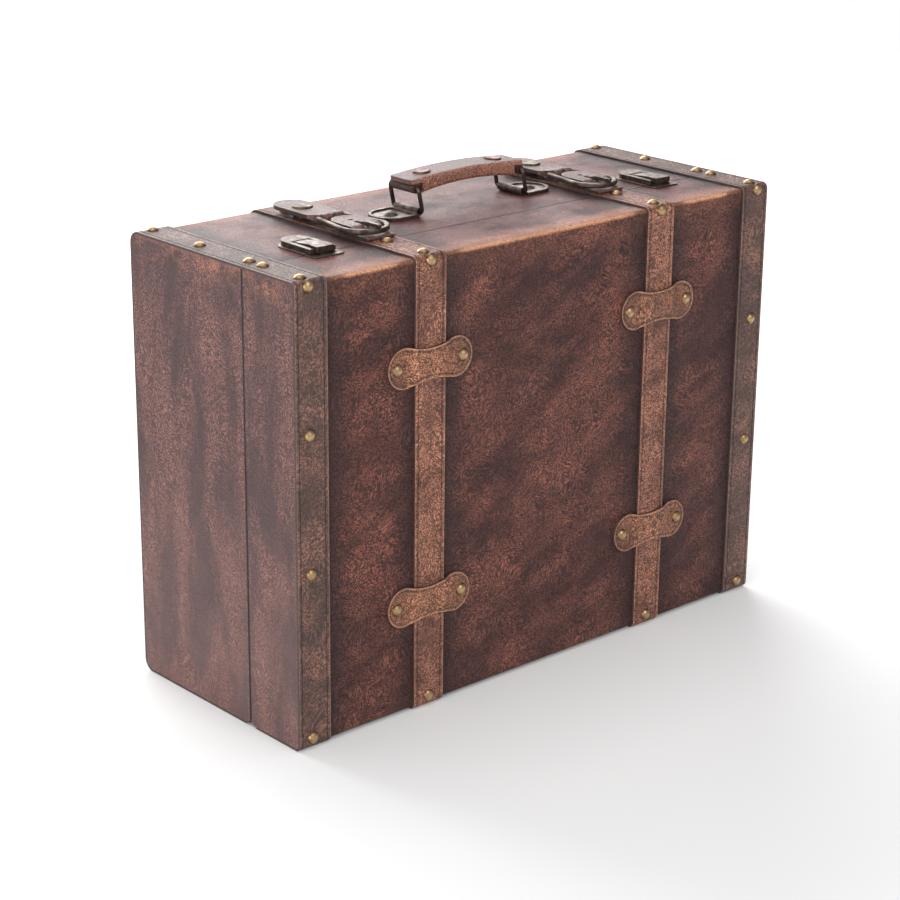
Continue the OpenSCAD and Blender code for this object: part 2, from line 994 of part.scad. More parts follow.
// A D with its straight side at x0 and its round end's tip at x1
module d_outline(w, x0, x1) {
    intersection() {
        union() {
            translate([x0 - w, -w / 2])
                square([x1 - x0 + w / 2, w]);
            translate([x1 - w / 2, 0])
                circle(w / 2);
        }
        translate([x0, -w])
            square([x1 - x0 + cut, 2 * w]);
    }
}

module handle_plate(side) {
    plate_x0 = barrel_r - 0.25;
    color([0.40, 0.34, 0.28])
        at_barrel(side)
            difference() {
                union() {
                    linear_extrude(plate_h)
                        d_outline(plate_w, plate_x0, plate_l);
                    translate([0, barrel_l / 2, barrel_z])
                        rotate([90, 0, 0])
                            cylinder(h = barrel_l, r = barrel_r);
                    translate([0, -barrel_l / 2, 0])
                        cube([plate_x0 + cut, barrel_l, barrel_z]);
                }
                translate([0, 0, plate_h - plate_recess])
                    linear_extrude(plate_recess + cut)
                        d_outline(plate_w - 2 * plate_rim, plate_x0 + plate_rim, plate_l - plate_rim);
                translate([0, barrel_l, barrel_z])
                    rotate([90, 0, 0])
                        cylinder(h = 2 * barrel_l, r = wire_r + pin_clear);
            }
}

module left_handle_plate() {
    handle_plate(-1);
}

module right_handle_plate() {
    handle_plate(1);
}

plate_rivet_x = plate_l - plate_w / 2;
plate_rivet_h = 2.2;

module handle_plate_rivets() {
    r = plate_rivet_d / 2;
    sphere_r = (r * r + plate_rivet_h * plate_rivet_h) / (2 * plate_rivet_h);
    color([0.46, 0.41, 0.33])
        for (side = [-1, 1])
            at_barrel(side)
                translate([plate_rivet_x, 0, plate_h - plate_recess])
                    intersection() {
                        translate([0, 0, plate_rivet_h - sphere_r])
                            sphere(sphere_r);
                        cylinder(h = plate_rivet_h, r = r);
                    }
}

// A closed wire ring from bar to bar, leaning to the left about its lower bar
module wire_ring(side) {
    leg = ring_h - 2 * ring_bend_r;
    bar = ring_w - 2 * ring_bend_r;
    color([0.30, 0.25, 0.21])
        translate([handle_x + side * barrel_x, handle_y, top_z + barrel_z])
            rotate([0, -handle_lean, 0]) {
                for (z = [0, ring_h])
                    translate([0, bar / 2, z])
                        rotate([90, 0, 0])
                            cylinder(h = bar, r = wire_r);
                for (y = [-ring_w / 2, ring_w / 2])
                    translate([0, y, ring_bend_r])
                        cylinder(h = leg, r = wire_r);
                for (turn = [0, 180])
                    translate([0, 0, ring_h / 2])
                        rotate([turn, 0, 0])
                            translate([0, 0, -ring_h / 2])
                                for (way = [0, 1])
                                    mirror([0, way, 0])
                                        translate([0, ring_w / 2 - ring_bend_r, ring_bend_r])
                                            rotate([0, 90, 0])
                                                rotate_extrude(angle = 90)
                                                    translate([ring_bend_r, 0])
                                                        circle(wire_r);
            }
}

module left_ring() {
    wire_ring(-1);
}

module right_ring() {
    wire_ring(1);
}

// The grip

module at_grip() {
    translate([handle_x + ring_top_x, handle_y, top_z])
        children();
}

// A full ring of thickness t, r across, that lies in the grip's long plane
module grip_ring(cz, r, t) {
    translate([0, 0, cz])
        rotate([90, 0, 0])
            rotate_extrude($fn = 400)
                rounded_section(r, t, grip_w, grip_edge_r);
}

// A disc about the middle of the grip's arch
module grip_disc(r, w) {
    translate([0, w / 2, grip_cz])
        rotate([90, 0, 0])
            cylinder(h = w, r = r, $fn = 400);
}

module rounded_section(r0, t, w, r) {
    difference() {
        translate([r0, -w / 2])
            square([t, w]);
        for (far = [0, 1], side = [0, 1])
            translate([r0 + far * t, side ? w / 2 : -w / 2])
                mirror([far, 0])
                    mirror([0, side])
                        fillet_cut(r);
    }
}

// The part of a solid that lies between two distances from the grip's middle
module grip_slice(side, x0, x1) {
    intersection() {
        children();
        translate([side < 0 ? -x1 : x0, -grip_w, 0])
            cube([x1 - x0, 2 * grip_w, ring_top_z + 4 * grip_t]);
    }
}

// The strip of loop leather between the grip's core and its top leather
loop_in_x = barrel_x - core_back - 8;

module loop_strip(side, x1, grow) {
    grip_slice(side, loop_in_x - grow, x1)
        difference() {
            grip_disc(grip_arch_r + grow, loop_l + 2 * grow);
            grip_disc(grip_arch_r - loop_t - grow, 2 * loop_l);
        }
}

module grip_plan() {
    flap_x = barrel_x + flap_over;
    difference() {
        translate([-flap_x, -grip_w / 2])
            square([2 * flap_x, grip_w]);
        for (far = [0, 1], back = [0, 1])
            mirror([far, 0])
                mirror([0, back])
                    translate([-flap_x, -grip_w / 2])
                        fillet_cut(flap_corner_r);
    }
}

module grip() {
    core_x = barrel_x - core_back;
    color([0.55, 0.30, 0.22])
        at_grip()
            difference() {
                intersection() {
                    grip_ring(grip_cz, grip_top_r - 4 * grip_t, 4 * grip_t);
                    grip_ring(grip_under_cz, grip_under_r, 4 * grip_t);
                    linear_extrude(ring_top_z + 4 * grip_t)
                        grip_plan();
                }
                for (side = [-1, 1]) {
                    grip_slice(side, core_x, 2 * barrel_x)
                        grip_disc(grip_arch_r + seat_gap, 2 * grip_w);
                    loop_strip(side, core_x + cut, seat_gap);
                }
            }
}

// The leather that runs into the grip and turns round each ring's top bar
module grip_loops() {
    color([0.33, 0.20, 0.17])
        at_grip()
            for (side = [-1, 1])
                difference() {
                    union() {
                        loop_strip(side, barrel_x, 0);
                        translate([side * barrel_x, loop_l / 2, ring_top_z])
                            rotate([90, 0, 0])
                                cylinder(h = loop_l, r = loop_r);
                    }
                    translate([side * barrel_x, loop_l, ring_top_z])
                        rotate([90, 0, 0])
                            cylinder(h = 2 * loop_l, r = wire_r + pin_clear);
                }
}

grip_rivet_h = 1.2;

module grip_rivets() {
    a = asin(grip_rivet_x / grip_top_r);
    color([0.50, 0.36, 0.26])
        at_grip()
            for (side = [-1, 1])
                translate([0, 0, grip_cz])
                    rotate([0, side * a, 0])
                        translate([0, 0, grip_top_r])
                            flat_cap(grip_rivet_d, grip_rivet_h);
}

// A flat cap with a rounded edge, standing on the origin
module flat_cap(d, h) {
    edge = h * 0.7;
    rotate_extrude()
        difference() {
            square([d / 2, h]);
            translate([d / 2, h])
                mirror([1, 0])
                    mirror([0, 1])
                        fillet_cut(edge);
        }
}

// The buckle straps, drawn at the seam over the middle of a strap

module at_strap(side) {
    translate([side * strap_x, seam_y, top_z])
        children();
}

buckle_front_y = buckle_bar_y - buckle_l;
buckle_in_r = buckle_w / 2 - buckle_rim;
// Where the strap's sides come out from under the buckle's front
tongue_out_y = buckle_front_y + buckle_w / 2 - sqrt(pow(buckle_in_r, 2) - pow(tongue_w / 2, 2));
tongue_rise_l = 10.5;
tongue_rise_start = tongue_out_y - 0.28 * tongue_rise_l;
tongue_rise_end = tongue_rise_start + tongue_rise_l;

// Points of a soft step from p to q, level at both ends
function soft_step(p, q, n) = [
    for (i = [0 : n])
        [p[0] + (q[0] - p[0]) * i / n, p[1] + (q[1] - p[1]) * (1 - cos(180 * i / n)) / 2]
];

// The buckle strap's middle line in Y and Z: level from its bend to under the
// buckle's front, up into the buckle and level to its tip
tongue_line = concat(
    [[-bend_front, bend_z]],
    soft_step([tongue_rise_start, bend_z], [tongue_rise_end, tongue_high_z], 10),
    [[tongue_tip + tongue_t, tongue_high_z]]
);

// The points of a line moved sideways by a distance
function beside(line, d) = [
    for (i = [0 : len(line) - 1])
        let (
            back = line[max(i - 1, 0)],
            on = line[min(i + 1, len(line) - 1)],
            way = (on - back) / norm(on - back)
        )
        line[i] + d * [-way[1], way[0]]
];

hole_y0 = tongue_rise_end - 5;
hole_l = 13.5;
hole_w = 2 * prong_r + 1.2;

module buckle_strap(side) {
    upper = beside(tongue_line, tongue_t / 2);
    lower = beside(tongue_line, -tongue_t / 2);
    color([0.45, 0.30, 0.25])
        at_strap(side)
            difference() {
                intersection() {
                    union() {
                        along_x(-tongue_w, tongue_w)
                            polygon(concat(upper, [for (i = [len(lower) - 1 : -1 : 0]) lower[i]]));
                        along_x(-tongue_w, tongue_w)
                            translate(tongue_line[0])
                                circle(bend_r);
                    }
                    translate([0, 0, -cut])
                        linear_extrude(buckle_z + 3 * cut)
                            polygon(concat(
                                [[-tongue_w / 2, -bend_front - tongue_t], [tongue_w / 2, -bend_front - tongue_t]],
                                arc([0, tongue_tip - tongue_w / 2], tongue_w / 2, 0, 180, 36)
                            ));
                }
                linear_extrude(buckle_z + 2 * tongue_t)
                    polygon(concat(
                        arc([0, hole_y0 + hole_l - hole_w / 2], hole_w / 2, 0, 180, 12),
                        arc([0, hole_y0 + hole_w / 2], hole_w / 2, 180, 360, 12)
                    ));
                translate([0, hole_y0 + hole_l + 5, 0])
                    cylinder(h = buckle_z + 2 * tongue_t, r = hole_w / 2);
            }
}

module left_buckle_strap() {
    buckle_strap(-1);
}

module right_buckle_strap() {
    buckle_strap(1);
}

// The section of the buckle's metal, drawn in by a distance
module buckle_section(inset) {
    w = buckle_rim - 2 * inset;
    h = buckle_h - 2 * inset;
    translate([-w / 2, -h / 2])
        difference() {
            square([w, h]);
            for (far = [0, 1], up = [0, 1])
                translate([far * w, up * h])
                    mirror([far, 0])
                        mirror([0, up])
                            fillet_cut(buckle_edge_r - inset);
        }
}

// A horseshoe buckle: its front is an arc of more than half a turn, and a
// slightly slimmer side leaves each end of it at a tangent and closes in to the bar
module buckle(side) {
    slim = 0.1;
    overlap = 0.5;
    arc_r = (buckle_w - buckle_rim) / 2;
    arc_y = buckle_front_y + buckle_w / 2;
    side_l = (buckle_bar_y - arc_y - arc_r * sin(buckle_taper)) / cos(buckle_taper);
    bar_half = arc_r * cos(buckle_taper) - side_l * sin(buckle_taper);
    color([0.46, 0.42, 0.36])
        at_strap(side)
            translate([0, 0, buckle_z]) {
                translate([0, arc_y, 0])
                    rotate([0, 0, 180 - buckle_taper])
                        rotate_extrude(angle = 180 + 2 * buckle_taper)
                            translate([arc_r, 0])
                                buckle_section(0);
                for (way = [-1, 1])
                    translate([way * bar_half, buckle_bar_y, 0]) {
                        rotate([90, 0, way * buckle_taper])
                            linear_extrude(side_l + overlap)
                                buckle_section(slim);
                        rotate_extrude()
                            intersection() {
                                buckle_section(0);
                                translate([0, -buckle_h])
                                    square([buckle_rim, 2 * buckle_h]);
                            }
                    }
                along_x(-bar_half, bar_half)
                    translate([buckle_bar_y, 0])
                        circle(buckle_bar_r);
            }
}

module left_buckle() {
    buckle(-1);
}

module right_buckle() {
    buckle(1);
}

// The prong turns on the bar, runs under the strap's tip, comes up through
// the hole and rests on the buckle's front
module prong(side) {
    rest_z = buckle_z + buckle_h / 2 + prong_r + 0.1;
    tip = [buckle_front_y + 1.2, rest_z + 0.15];
    line = concat(
        [[buckle_bar_y, prong_low_z]],
        soft_step([hole_y0 + hole_l - 1, prong_low_z], [hole_y0 + 1, rest_z], 8),
        [tip]
    );
    upper = beside(line, prong_r);
    lower = beside(line, -prong_r);
    color([0.46, 0.42, 0.36])
        at_strap(side)
            difference() {
                union() {
                    along_x(-prong_r, prong_r)
                        translate([buckle_bar_y, buckle_z])
                            circle(prong_eye_r);
                    along_x(-prong_r, prong_r)
                        polygon(concat(upper, [for (i = [len(lower) - 1 : -1 : 0]) lower[i]]));
                    along_x(-prong_r, prong_r)
                        translate(tip)
                            circle(prong_r + 0.15);
                }
                along_x(-clasp_w, clasp_w)
                    translate([buckle_bar_y, buckle_z])
                        circle(buckle_bar_r + pin_clear);
            }
}

module left_prong() {
    prong(-1);
}

module right_prong() {
    prong(1);
}

// The snap tab: leather folded round the bar and stitched into one thickness
tab_fold_r = buckle_bar_r + pin_clear + tab_fold_t;
tab_neck = 12;
stud_post_r = 2;

module tab_plan() {
    end_middle = snap_y + tab_end - tab_w / 2;
    neck_y = buckle_bar_y + tab_neck;
    polygon(concat(
        [[-tab_fold_w / 2, buckle_bar_y - tab_fold_r - cut], [tab_fold_w / 2, buckle_bar_y - tab_fold_r - cut]],
        [[tab_fold_w / 2, buckle_bar_y + tab_fold_r], [tab_w / 2, neck_y]],
        arc([0, end_middle], tab_w / 2, 0, 180, 36),
        [[-tab_w / 2, neck_y], [-tab_fold_w / 2, buckle_bar_y + tab_fold_r]]
    ));
}

module snap_tab(side) {
    slot_w = 2 * prong_r + 1;
    color([0.50, 0.34, 0.28])
        at_strap(side)
            difference() {
                intersection() {
                    union() {
                        along_x(-tab_w, tab_w)
                            translate([buckle_bar_y, buckle_z])
                                circle(tab_fold_r);
                        along_x(-tab_w, tab_w)
                            polygon([
                                [buckle_bar_y + tab_fold_r * 0.5, buckle_z + tab_fold_r * 0.8],
                                [buckle_bar_y + tab_fold_r * 0.5, buckle_z - tab_fold_r * 0.8],
                                [buckle_bar_y + tab_neck, buckle_z - tab_t / 2],
                                [snap_y + tab_end + cut, buckle_z - tab_t / 2],
                                [snap_y + tab_end + cut, buckle_z + tab_t / 2],
                                [buckle_bar_y + tab_neck, buckle_z + tab_t / 2]
                            ]);
                    }
                    linear_extrude(2 * buckle_z)
                        tab_plan();
                }
                along_x(-tab_w, tab_w)
                    translate([buckle_bar_y, buckle_z])
                        circle(buckle_bar_r + pin_clear);
                translate([-slot_w / 2, buckle_bar_y - tab_fold_r - cut, 0])
                    cube([slot_w, 2 * tab_fold_r + cut, 2 * buckle_z]);
                translate([0, snap_y, 0])
                    cylinder(h = 2 * buckle_z, r = stud_post_r + pin_clear);
            }
}

module left_snap_tab() {
    snap_tab(-1);
}

module right_snap_tab() {
    snap_tab(1);
}

// The snap's cap over the tab, its post and the magnet under the tab
module snap_stud(side) {
    color([0.60, 0.50, 0.34])
        at_strap(side)
            translate([0, snap_y, 0]) {
                translate([0, 0, buckle_z + tab_t / 2])
                    flat_cap(cap_d, cap_h);
                translate([0, 0, magnet_top + magnet_gap])
                    cylinder(h = buckle_z + tab_t / 2 + cap_h / 2 - magnet_top - magnet_gap,
                             r = stud_post_r);
                translate([0, 0, magnet_top + magnet_gap])
                    cylinder(h = buckle_z - tab_t / 2 - magnet_top - magnet_gap, r = magnet_d / 2);
            }
}

module left_snap_stud() {
    snap_stud(-1);
}

module right_snap_stud() {
    snap_stud(1);
}

module snap_magnets() {
    color([0.60, 0.50, 0.34])
        for (side = [-1, 1])
            at_strap(side)
                translate([0, snap_y, strap_t])
                    cylinder(h = magnet_t, r = magnet_d / 2);
}

base_back_panel();
base_top_board();
base_bottom_board();
base_left_board();
base_right_board();
base_cover();
base_lining();
base_left_band();
base_right_band();
base_left_strap();
base_right_strap();
base_nails();
left_hinge_base_leaf();
right_hinge_base_leaf();
hinge_pins();
left_clasp_body();
right_clasp_body();
clasp_pins();
left_handle_plate();
right_handle_plate();
handle_plate_rivets();
snap_magnets();
lid_front_panel();
lid_top_board();
lid_bottom_board();
lid_left_board();
lid_right_board();
lid_cover();
lid_lining();
lid_left_band();
lid_right_band();
lid_left_strap();
lid_right_strap();
keeper_upper_left();
keeper_lower_left();
keeper_upper_right();
keeper_lower_right();
lid_nails();
left_hinge_lid_leaf();
right_hinge_lid_leaf();
left_catch_plate();
right_catch_plate();
left_latch();
right_latch();
left_buckle_strap();
left_snap_tab();
left_buckle();
left_prong();
left_snap_stud();
right_buckle_strap();
right_snap_tab();
right_buckle();
right_prong();
right_snap_stud();
left_ring();
right_ring();
grip();
grip_loops();
grip_rivets();
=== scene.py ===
import math
import random

import bmesh
import bpy
from mathutils import Matrix, Vector, noise


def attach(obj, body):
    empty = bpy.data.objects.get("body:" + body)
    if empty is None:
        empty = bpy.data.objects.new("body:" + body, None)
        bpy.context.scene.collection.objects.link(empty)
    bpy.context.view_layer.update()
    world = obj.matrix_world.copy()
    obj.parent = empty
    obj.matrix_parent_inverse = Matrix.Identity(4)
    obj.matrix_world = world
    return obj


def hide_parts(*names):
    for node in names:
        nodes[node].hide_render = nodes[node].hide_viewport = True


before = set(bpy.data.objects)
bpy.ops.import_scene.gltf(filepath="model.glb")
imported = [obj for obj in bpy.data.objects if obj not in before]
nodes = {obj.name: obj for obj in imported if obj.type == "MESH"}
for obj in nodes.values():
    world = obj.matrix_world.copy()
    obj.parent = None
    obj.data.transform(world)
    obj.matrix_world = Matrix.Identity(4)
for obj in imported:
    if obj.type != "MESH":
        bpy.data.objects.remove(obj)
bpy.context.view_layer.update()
scene = bpy.context.scene
print("frame loaded:", len(nodes), "nodes")


# camera, as the photograph was taken
view = {
    "azimuth": -41.84,
    "elevation": 19.31,
    "roll": 0.55,
    "distance": 1.722,
    "target": (-0.01083, 0.0, 0.14387),
    "lens": 93.23,
    "sensor": 36,
    "farthest": 20,
}


def makeCamera(values):
    azimuth, elevation, roll = (math.radians(values[key]) for key in ("azimuth", "elevation", "roll"))
    level = math.cos(elevation)
    back = Vector((math.sin(azimuth) * level, -math.cos(azimuth) * level, math.sin(elevation)))
    right = Vector((math.cos(azimuth), math.sin(azimuth), 0))
    up = back.cross(right)
    rolledRight = math.cos(roll) * right + math.sin(roll) * up
    rolledUp = math.cos(roll) * up - math.sin(roll) * right
    turn = Matrix((rolledRight, rolledUp, back)).transposed().to_4x4()
    lens = bpy.data.cameras.new("studioCamera")
    lens.sensor_width = values["sensor"]
    lens.lens = values["lens"]
    lens.clip_end = values["farthest"]
    camera = bpy.data.objects.new("studioCamera", lens)
    scene.collection.objects.link(camera)
    camera.matrix_world = Matrix.Translation(Vector(values["target"]) + values["distance"] * back) @ turn
    scene.camera = camera


makeCamera(view)
print("camera placed")


# helpers for node trees
def put(tree, kind, feeds=None, **settings):
    made = tree.nodes.new(kind)
    for key, value in settings.items():
        setattr(made, key, value)
    for key, value in (feeds or {}).items():
        join(tree, value, made.inputs[key])
    return made


def join(tree, value, socket):
    if isinstance(value, bpy.types.NodeSocket):
        tree.links.new(value, socket)
    else:
        socket.default_value = value


def calc(tree, operation, *values, clamp=False):
    made = put(tree, "ShaderNodeMath", operation=operation, use_clamp=clamp)
    for i, value in enumerate(values):
        join(tree, value, made.inputs[i])
    return made.outputs[0]


def plus(tree, first, second, clamp=False):
    return calc(tree, "ADD", first, second, clamp=clamp)


def minus(tree, first, second, clamp=False):
    return calc(tree, "SUBTRACT", first, second, clamp=clamp)


def times(tree, first, second, clamp=False):
    return calc(tree, "MULTIPLY", first, second, clamp=clamp)


def unsigned(tree, value):  # the value without its sign
    return calc(tree, "ABSOLUTE", value)


def flip(tree, value):  # 1 becomes 0 and 0 becomes 1
    return minus(tree, 1.0, value)


def raised(tree, value, start, gain):  # the start, and the gain times the value on top
    return plus(tree, times(tree, value, gain), start)


def reach(tree, first, second):  # length of the slanted side over two square ones
    return calc(tree, "SQRT", plus(tree, times(tree, first, first), times(tree, second, second)))


def vectorCalc(tree, operation, *values, scale=None):
    made = put(tree, "ShaderNodeVectorMath", operation=operation)
    for i, value in enumerate(values):
        join(tree, value, made.inputs[i])
    if scale is not None:
        join(tree, scale, made.inputs["Scale"])
    return made.outputs["Value" if operation == "DOT_PRODUCT" else "Vector"]


def fade(tree, value, low, high, start=0.0, end=1.0):  # a soft step from start at low to end at high
    return put(tree, "ShaderNodeMapRange", {
        "Value": value, "From Min": low, "From Max": high, "To Min": start, "To Max": end},
        interpolation_type="SMOOTHSTEP").outputs["Result"]


def mixFloat(tree, factor, first, second):
    made = put(tree, "ShaderNodeMix", data_type="FLOAT")
    for socket, value in ((0, factor), (2, first), (3, second)):
        join(tree, value, made.inputs[socket])
    return made.outputs[0]


def mixColour(tree, factor, first, second):
    made = put(tree, "ShaderNodeMix", data_type="RGBA")
    join(tree, factor, made.inputs[0])
    for socket, value in ((6, first), (7, second)):
        isSocket = isinstance(value, bpy.types.NodeSocket)
        join(tree, value if isSocket else (*value, 1.0), made.inputs[socket])
    return made.outputs[2]


def cloud(tree, place, scale, detail, roughness=0.5, distortion=0.0):
    return put(tree, "ShaderNodeTexNoise", {
        "Vector": place, "Scale": scale, "Detail": detail, "Roughness": roughness,
        "Distortion": distortion}).outputs


def stretched(tree, place, lean, sizes):  # coordinates drawn out along a leaning axis
    return put(tree, "ShaderNodeMapping", {
        "Vector": place, "Rotation": (0.0, math.radians(-lean), 0.0), "Scale": sizes},
        vector_type="TEXTURE").outputs["Vector"]


def axes(tree, place):
    parts = put(tree, "ShaderNodeSeparateXYZ", {"Vector": place}).outputs
    return parts["X"], parts["Y"], parts["Z"]


def newGroup(name, inputs, outputs):
    tree = bpy.data.node_groups.new(name, "ShaderNodeTree")
    tree.interface.new_socket("Vector", in_out="INPUT", socket_type="NodeSocketVector")
    for label, value in inputs.items():
        socket = tree.interface.new_socket(label, in_out="INPUT", socket_type="NodeSocketFloat")
        socket.default_value = value
    for label in outputs:
        tree.interface.new_socket(label, in_out="OUTPUT", socket_type="NodeSocketFloat")
    return tree, tree.nodes.new("NodeGroupInput").outputs, tree.nodes.new("NodeGroupOutput").inputs


def useGroup(tree, group, feeds):
    return put(tree, "ShaderNodeGroup", feeds, node_tree=group).outputs


# effects that several finishes share
grainShape = {
    "wideScale": 0.06, "wideSwirl": 21.0, "nearScale": 0.5, "nearSwirl": 1.3, "cellScale": 0.8,
    "cellEdge": (0.01, 0.22), "foldScale": 0.6, "foldSharpness": 5.5, "poreScale": 2.6,
    "poreRoughness": 0.6, "poreDepth": 0.45, "crest": (0.38, 0.92),
}


def makeGrain(values):
    # creased leather: small cells drawn out along swirling folds, with fine pores
    tree, given, result = newGroup(
        "creasedGrain", {"Spacing": 0.003, "Swirl": 1.0, "Folds": 0.5}, ["Height", "Crest"])
    units = vectorCalc(tree, "SCALE", given["Vector"], scale=calc(tree, "DIVIDE", 1.0, given["Spacing"]))
    warped = units
    for scale, swirl in ((values["wideScale"], times(tree, given["Swirl"], values["wideSwirl"])),
                         (values["nearScale"], values["nearSwirl"])):
        drift = vectorCalc(tree, "SUBTRACT", cloud(tree, units, scale, 1.0)["Color"], (0.5, 0.5, 0.5))
        warped = vectorCalc(tree, "ADD", warped, vectorCalc(tree, "SCALE", drift, scale=swirl))
    cells = put(tree, "ShaderNodeTexVoronoi", {
        "Vector": warped, "Scale": values["cellScale"], "Randomness": 1.0},
        feature="DISTANCE_TO_EDGE").outputs["Distance"]
    pebble = fade(tree, cells, *values["cellEdge"])
    fold = minus(tree, cloud(tree, warped, values["foldScale"], 1.0)["Fac"], 0.5)
    ridge = minus(tree, 1.0, unsigned(tree, times(tree, fold, values["foldSharpness"])), clamp=True)
    pore = minus(tree, cloud(tree, units, values["poreScale"], 2.0, values["poreRoughness"])["Fac"], 0.5)
    body = mixFloat(tree, given["Folds"], pebble, ridge)
    height = plus(tree, body, times(tree, pore, values["poreDepth"]))
    join(tree, height, result["Height"])
    join(tree, fade(tree, height, *values["crest"]), result["Crest"])
    return tree


patchShape = {"detail": 4.0, "roughness": 0.58, "distortion": 0.4, "level": (0.75, -0.5)}


def makePatches(values):
    # broad uneven patches where the finish is rubbed through or stained
    tree, given, result = newGroup(
        "rubbedPatches", {"Size": 0.06, "Cover": 0.5, "Softness": 0.12, "Seed": 0.0}, ["Mask"])
    units = vectorCalc(tree, "SCALE", given["Vector"], scale=calc(tree, "DIVIDE", 1.0, given["Size"]))
    spot = put(tree, "ShaderNodeTexNoise", {
        "Vector": units, "W": given["Seed"], "Scale": 1.0, "Detail": values["detail"],
        "Roughness": values["roughness"], "Distortion": values["distortion"]},
        noise_dimensions="4D").outputs["Fac"]
    level = raised(tree, given["Cover"], *values["level"])
    low, high = minus(tree, level, given["Softness"]), plus(tree, level, given["Softness"])
    join(tree, fade(tree, spot, low, high), result["Mask"])
    return tree


wornShape = {"scale": 90.0, "detail": 4.0, "shift": 3.0, "solid": 0.35}


def makeWornEdge(values):
    # 1 at an edge, falling off unevenly with the distance from it
    tree, given, result = newGroup(
        "wornEdge", {"Distance": 0.0, "Width": 0.003, "Breakup": 0.8}, ["Mask"])
    rough = minus(tree, cloud(tree, given["Vector"], values["scale"], values["detail"])["Fac"], 0.5)
    most = times(tree, given["Width"], values["shift"])
    shift = times(tree, times(tree, rough, given["Breakup"]), most)
    solid = times(tree, given["Width"], values["solid"])
    shifted = plus(tree, given["Distance"], shift)
    join(tree, fade(tree, shifted, solid, given["Width"], 1.0, 0.0), result["Mask"])
    return tree


tarnishShape = {
    "blotch": (0.36, 0.64), "blotchRoughness": 0.62, "pitScale": 9.0, "pitRoughness": 0.7,
    "streaks": (1.0, 6.0, 6.0), "streakScale": 2.0,
}


def makeTarnish(values):
    # blotches of tarnish, fine pitting and brushed streaks on old plated metal
    tree, given, result = newGroup("tarnish", {"Size": 0.006}, ["Blotch", "Pits", "Streaks"])
    units = vectorCalc(tree, "SCALE", given["Vector"], scale=calc(tree, "DIVIDE", 1.0, given["Size"]))
    drawn = vectorCalc(tree, "MULTIPLY", units, values["streaks"])
    blotch = cloud(tree, units, 1.0, 5.0, values["blotchRoughness"])["Fac"]
    join(tree, fade(tree, blotch, *values["blotch"]), result["Blotch"])
    join(tree, cloud(tree, units, values["pitScale"], 3.0, values["pitRoughness"])["Fac"], result["Pits"])
    join(tree, cloud(tree, drawn, values["streakScale"], 2.0)["Fac"], result["Streaks"])
    return tree


grainGroup = makeGrain(grainShape)
patchGroup = makePatches(patchShape)
wornGroup = makeWornEdge(wornShape)
tarnishGroup = makeTarnish(tarnishShape)
print("shared effects built")


def grainPair(tree, place, spacing, coarse, fine):
    # a coarse and a fine grain, each given as its share of the spacing, its swirl and its folds
    return [useGroup(tree, grainGroup, {
        "Vector": place, "Spacing": spacing * share, "Swirl": swirl, "Folds": folds})
        for share, swirl, folds in (coarse, fine)]


def patchMask(tree, place, size, amount, softness, seed):
    return useGroup(tree, patchGroup, {
        "Vector": place, "Size": size, "Cover": amount, "Softness": softness, "Seed": seed})["Mask"]


def wornMask(tree, place, distance, width, breakup):
    return useGroup(tree, wornGroup, {
        "Vector": place, "Distance": distance, "Width": width, "Breakup": breakup})["Mask"]


# the case's sizes, as its finishes and nails need them
case = {
    "halfLength": 0.225,
    "halfDepth": 0.089,
    "bottomZ": 0.0016,
    "topZ": 0.3256,
    "seamY": -0.036,
    "strapX": 0.110,
    "strapHalf": 0.0135,
    "bandX": 0.2115,
    "bandHalf": 0.0135,
    "keeperZ": (0.0806, 0.2526),
}


def newMaterial(name):
    material = bpy.data.materials.new(name)
    material.use_nodes = True
    tree = material.node_tree
    place = put(tree, "ShaderNodeTexCoord").outputs["Object"]
    return material, tree, tree.nodes["Principled BSDF"], place


def giveBump(tree, shader, height, strength, depth, normal=None):
    feeds = {"Height": height, "Strength": strength, "Distance": depth}
    if normal is not None:
        feeds["Normal"] = normal
    join(tree, put(tree, "ShaderNodeBump", feeds).outputs["Normal"], shader.inputs["Normal"])


def giveRoughness(tree, shader, shine, limits):  # the low limit where it shines
    low, high = limits
    join(tree, raised(tree, shine, high, low - high), shader.inputs["Roughness"])


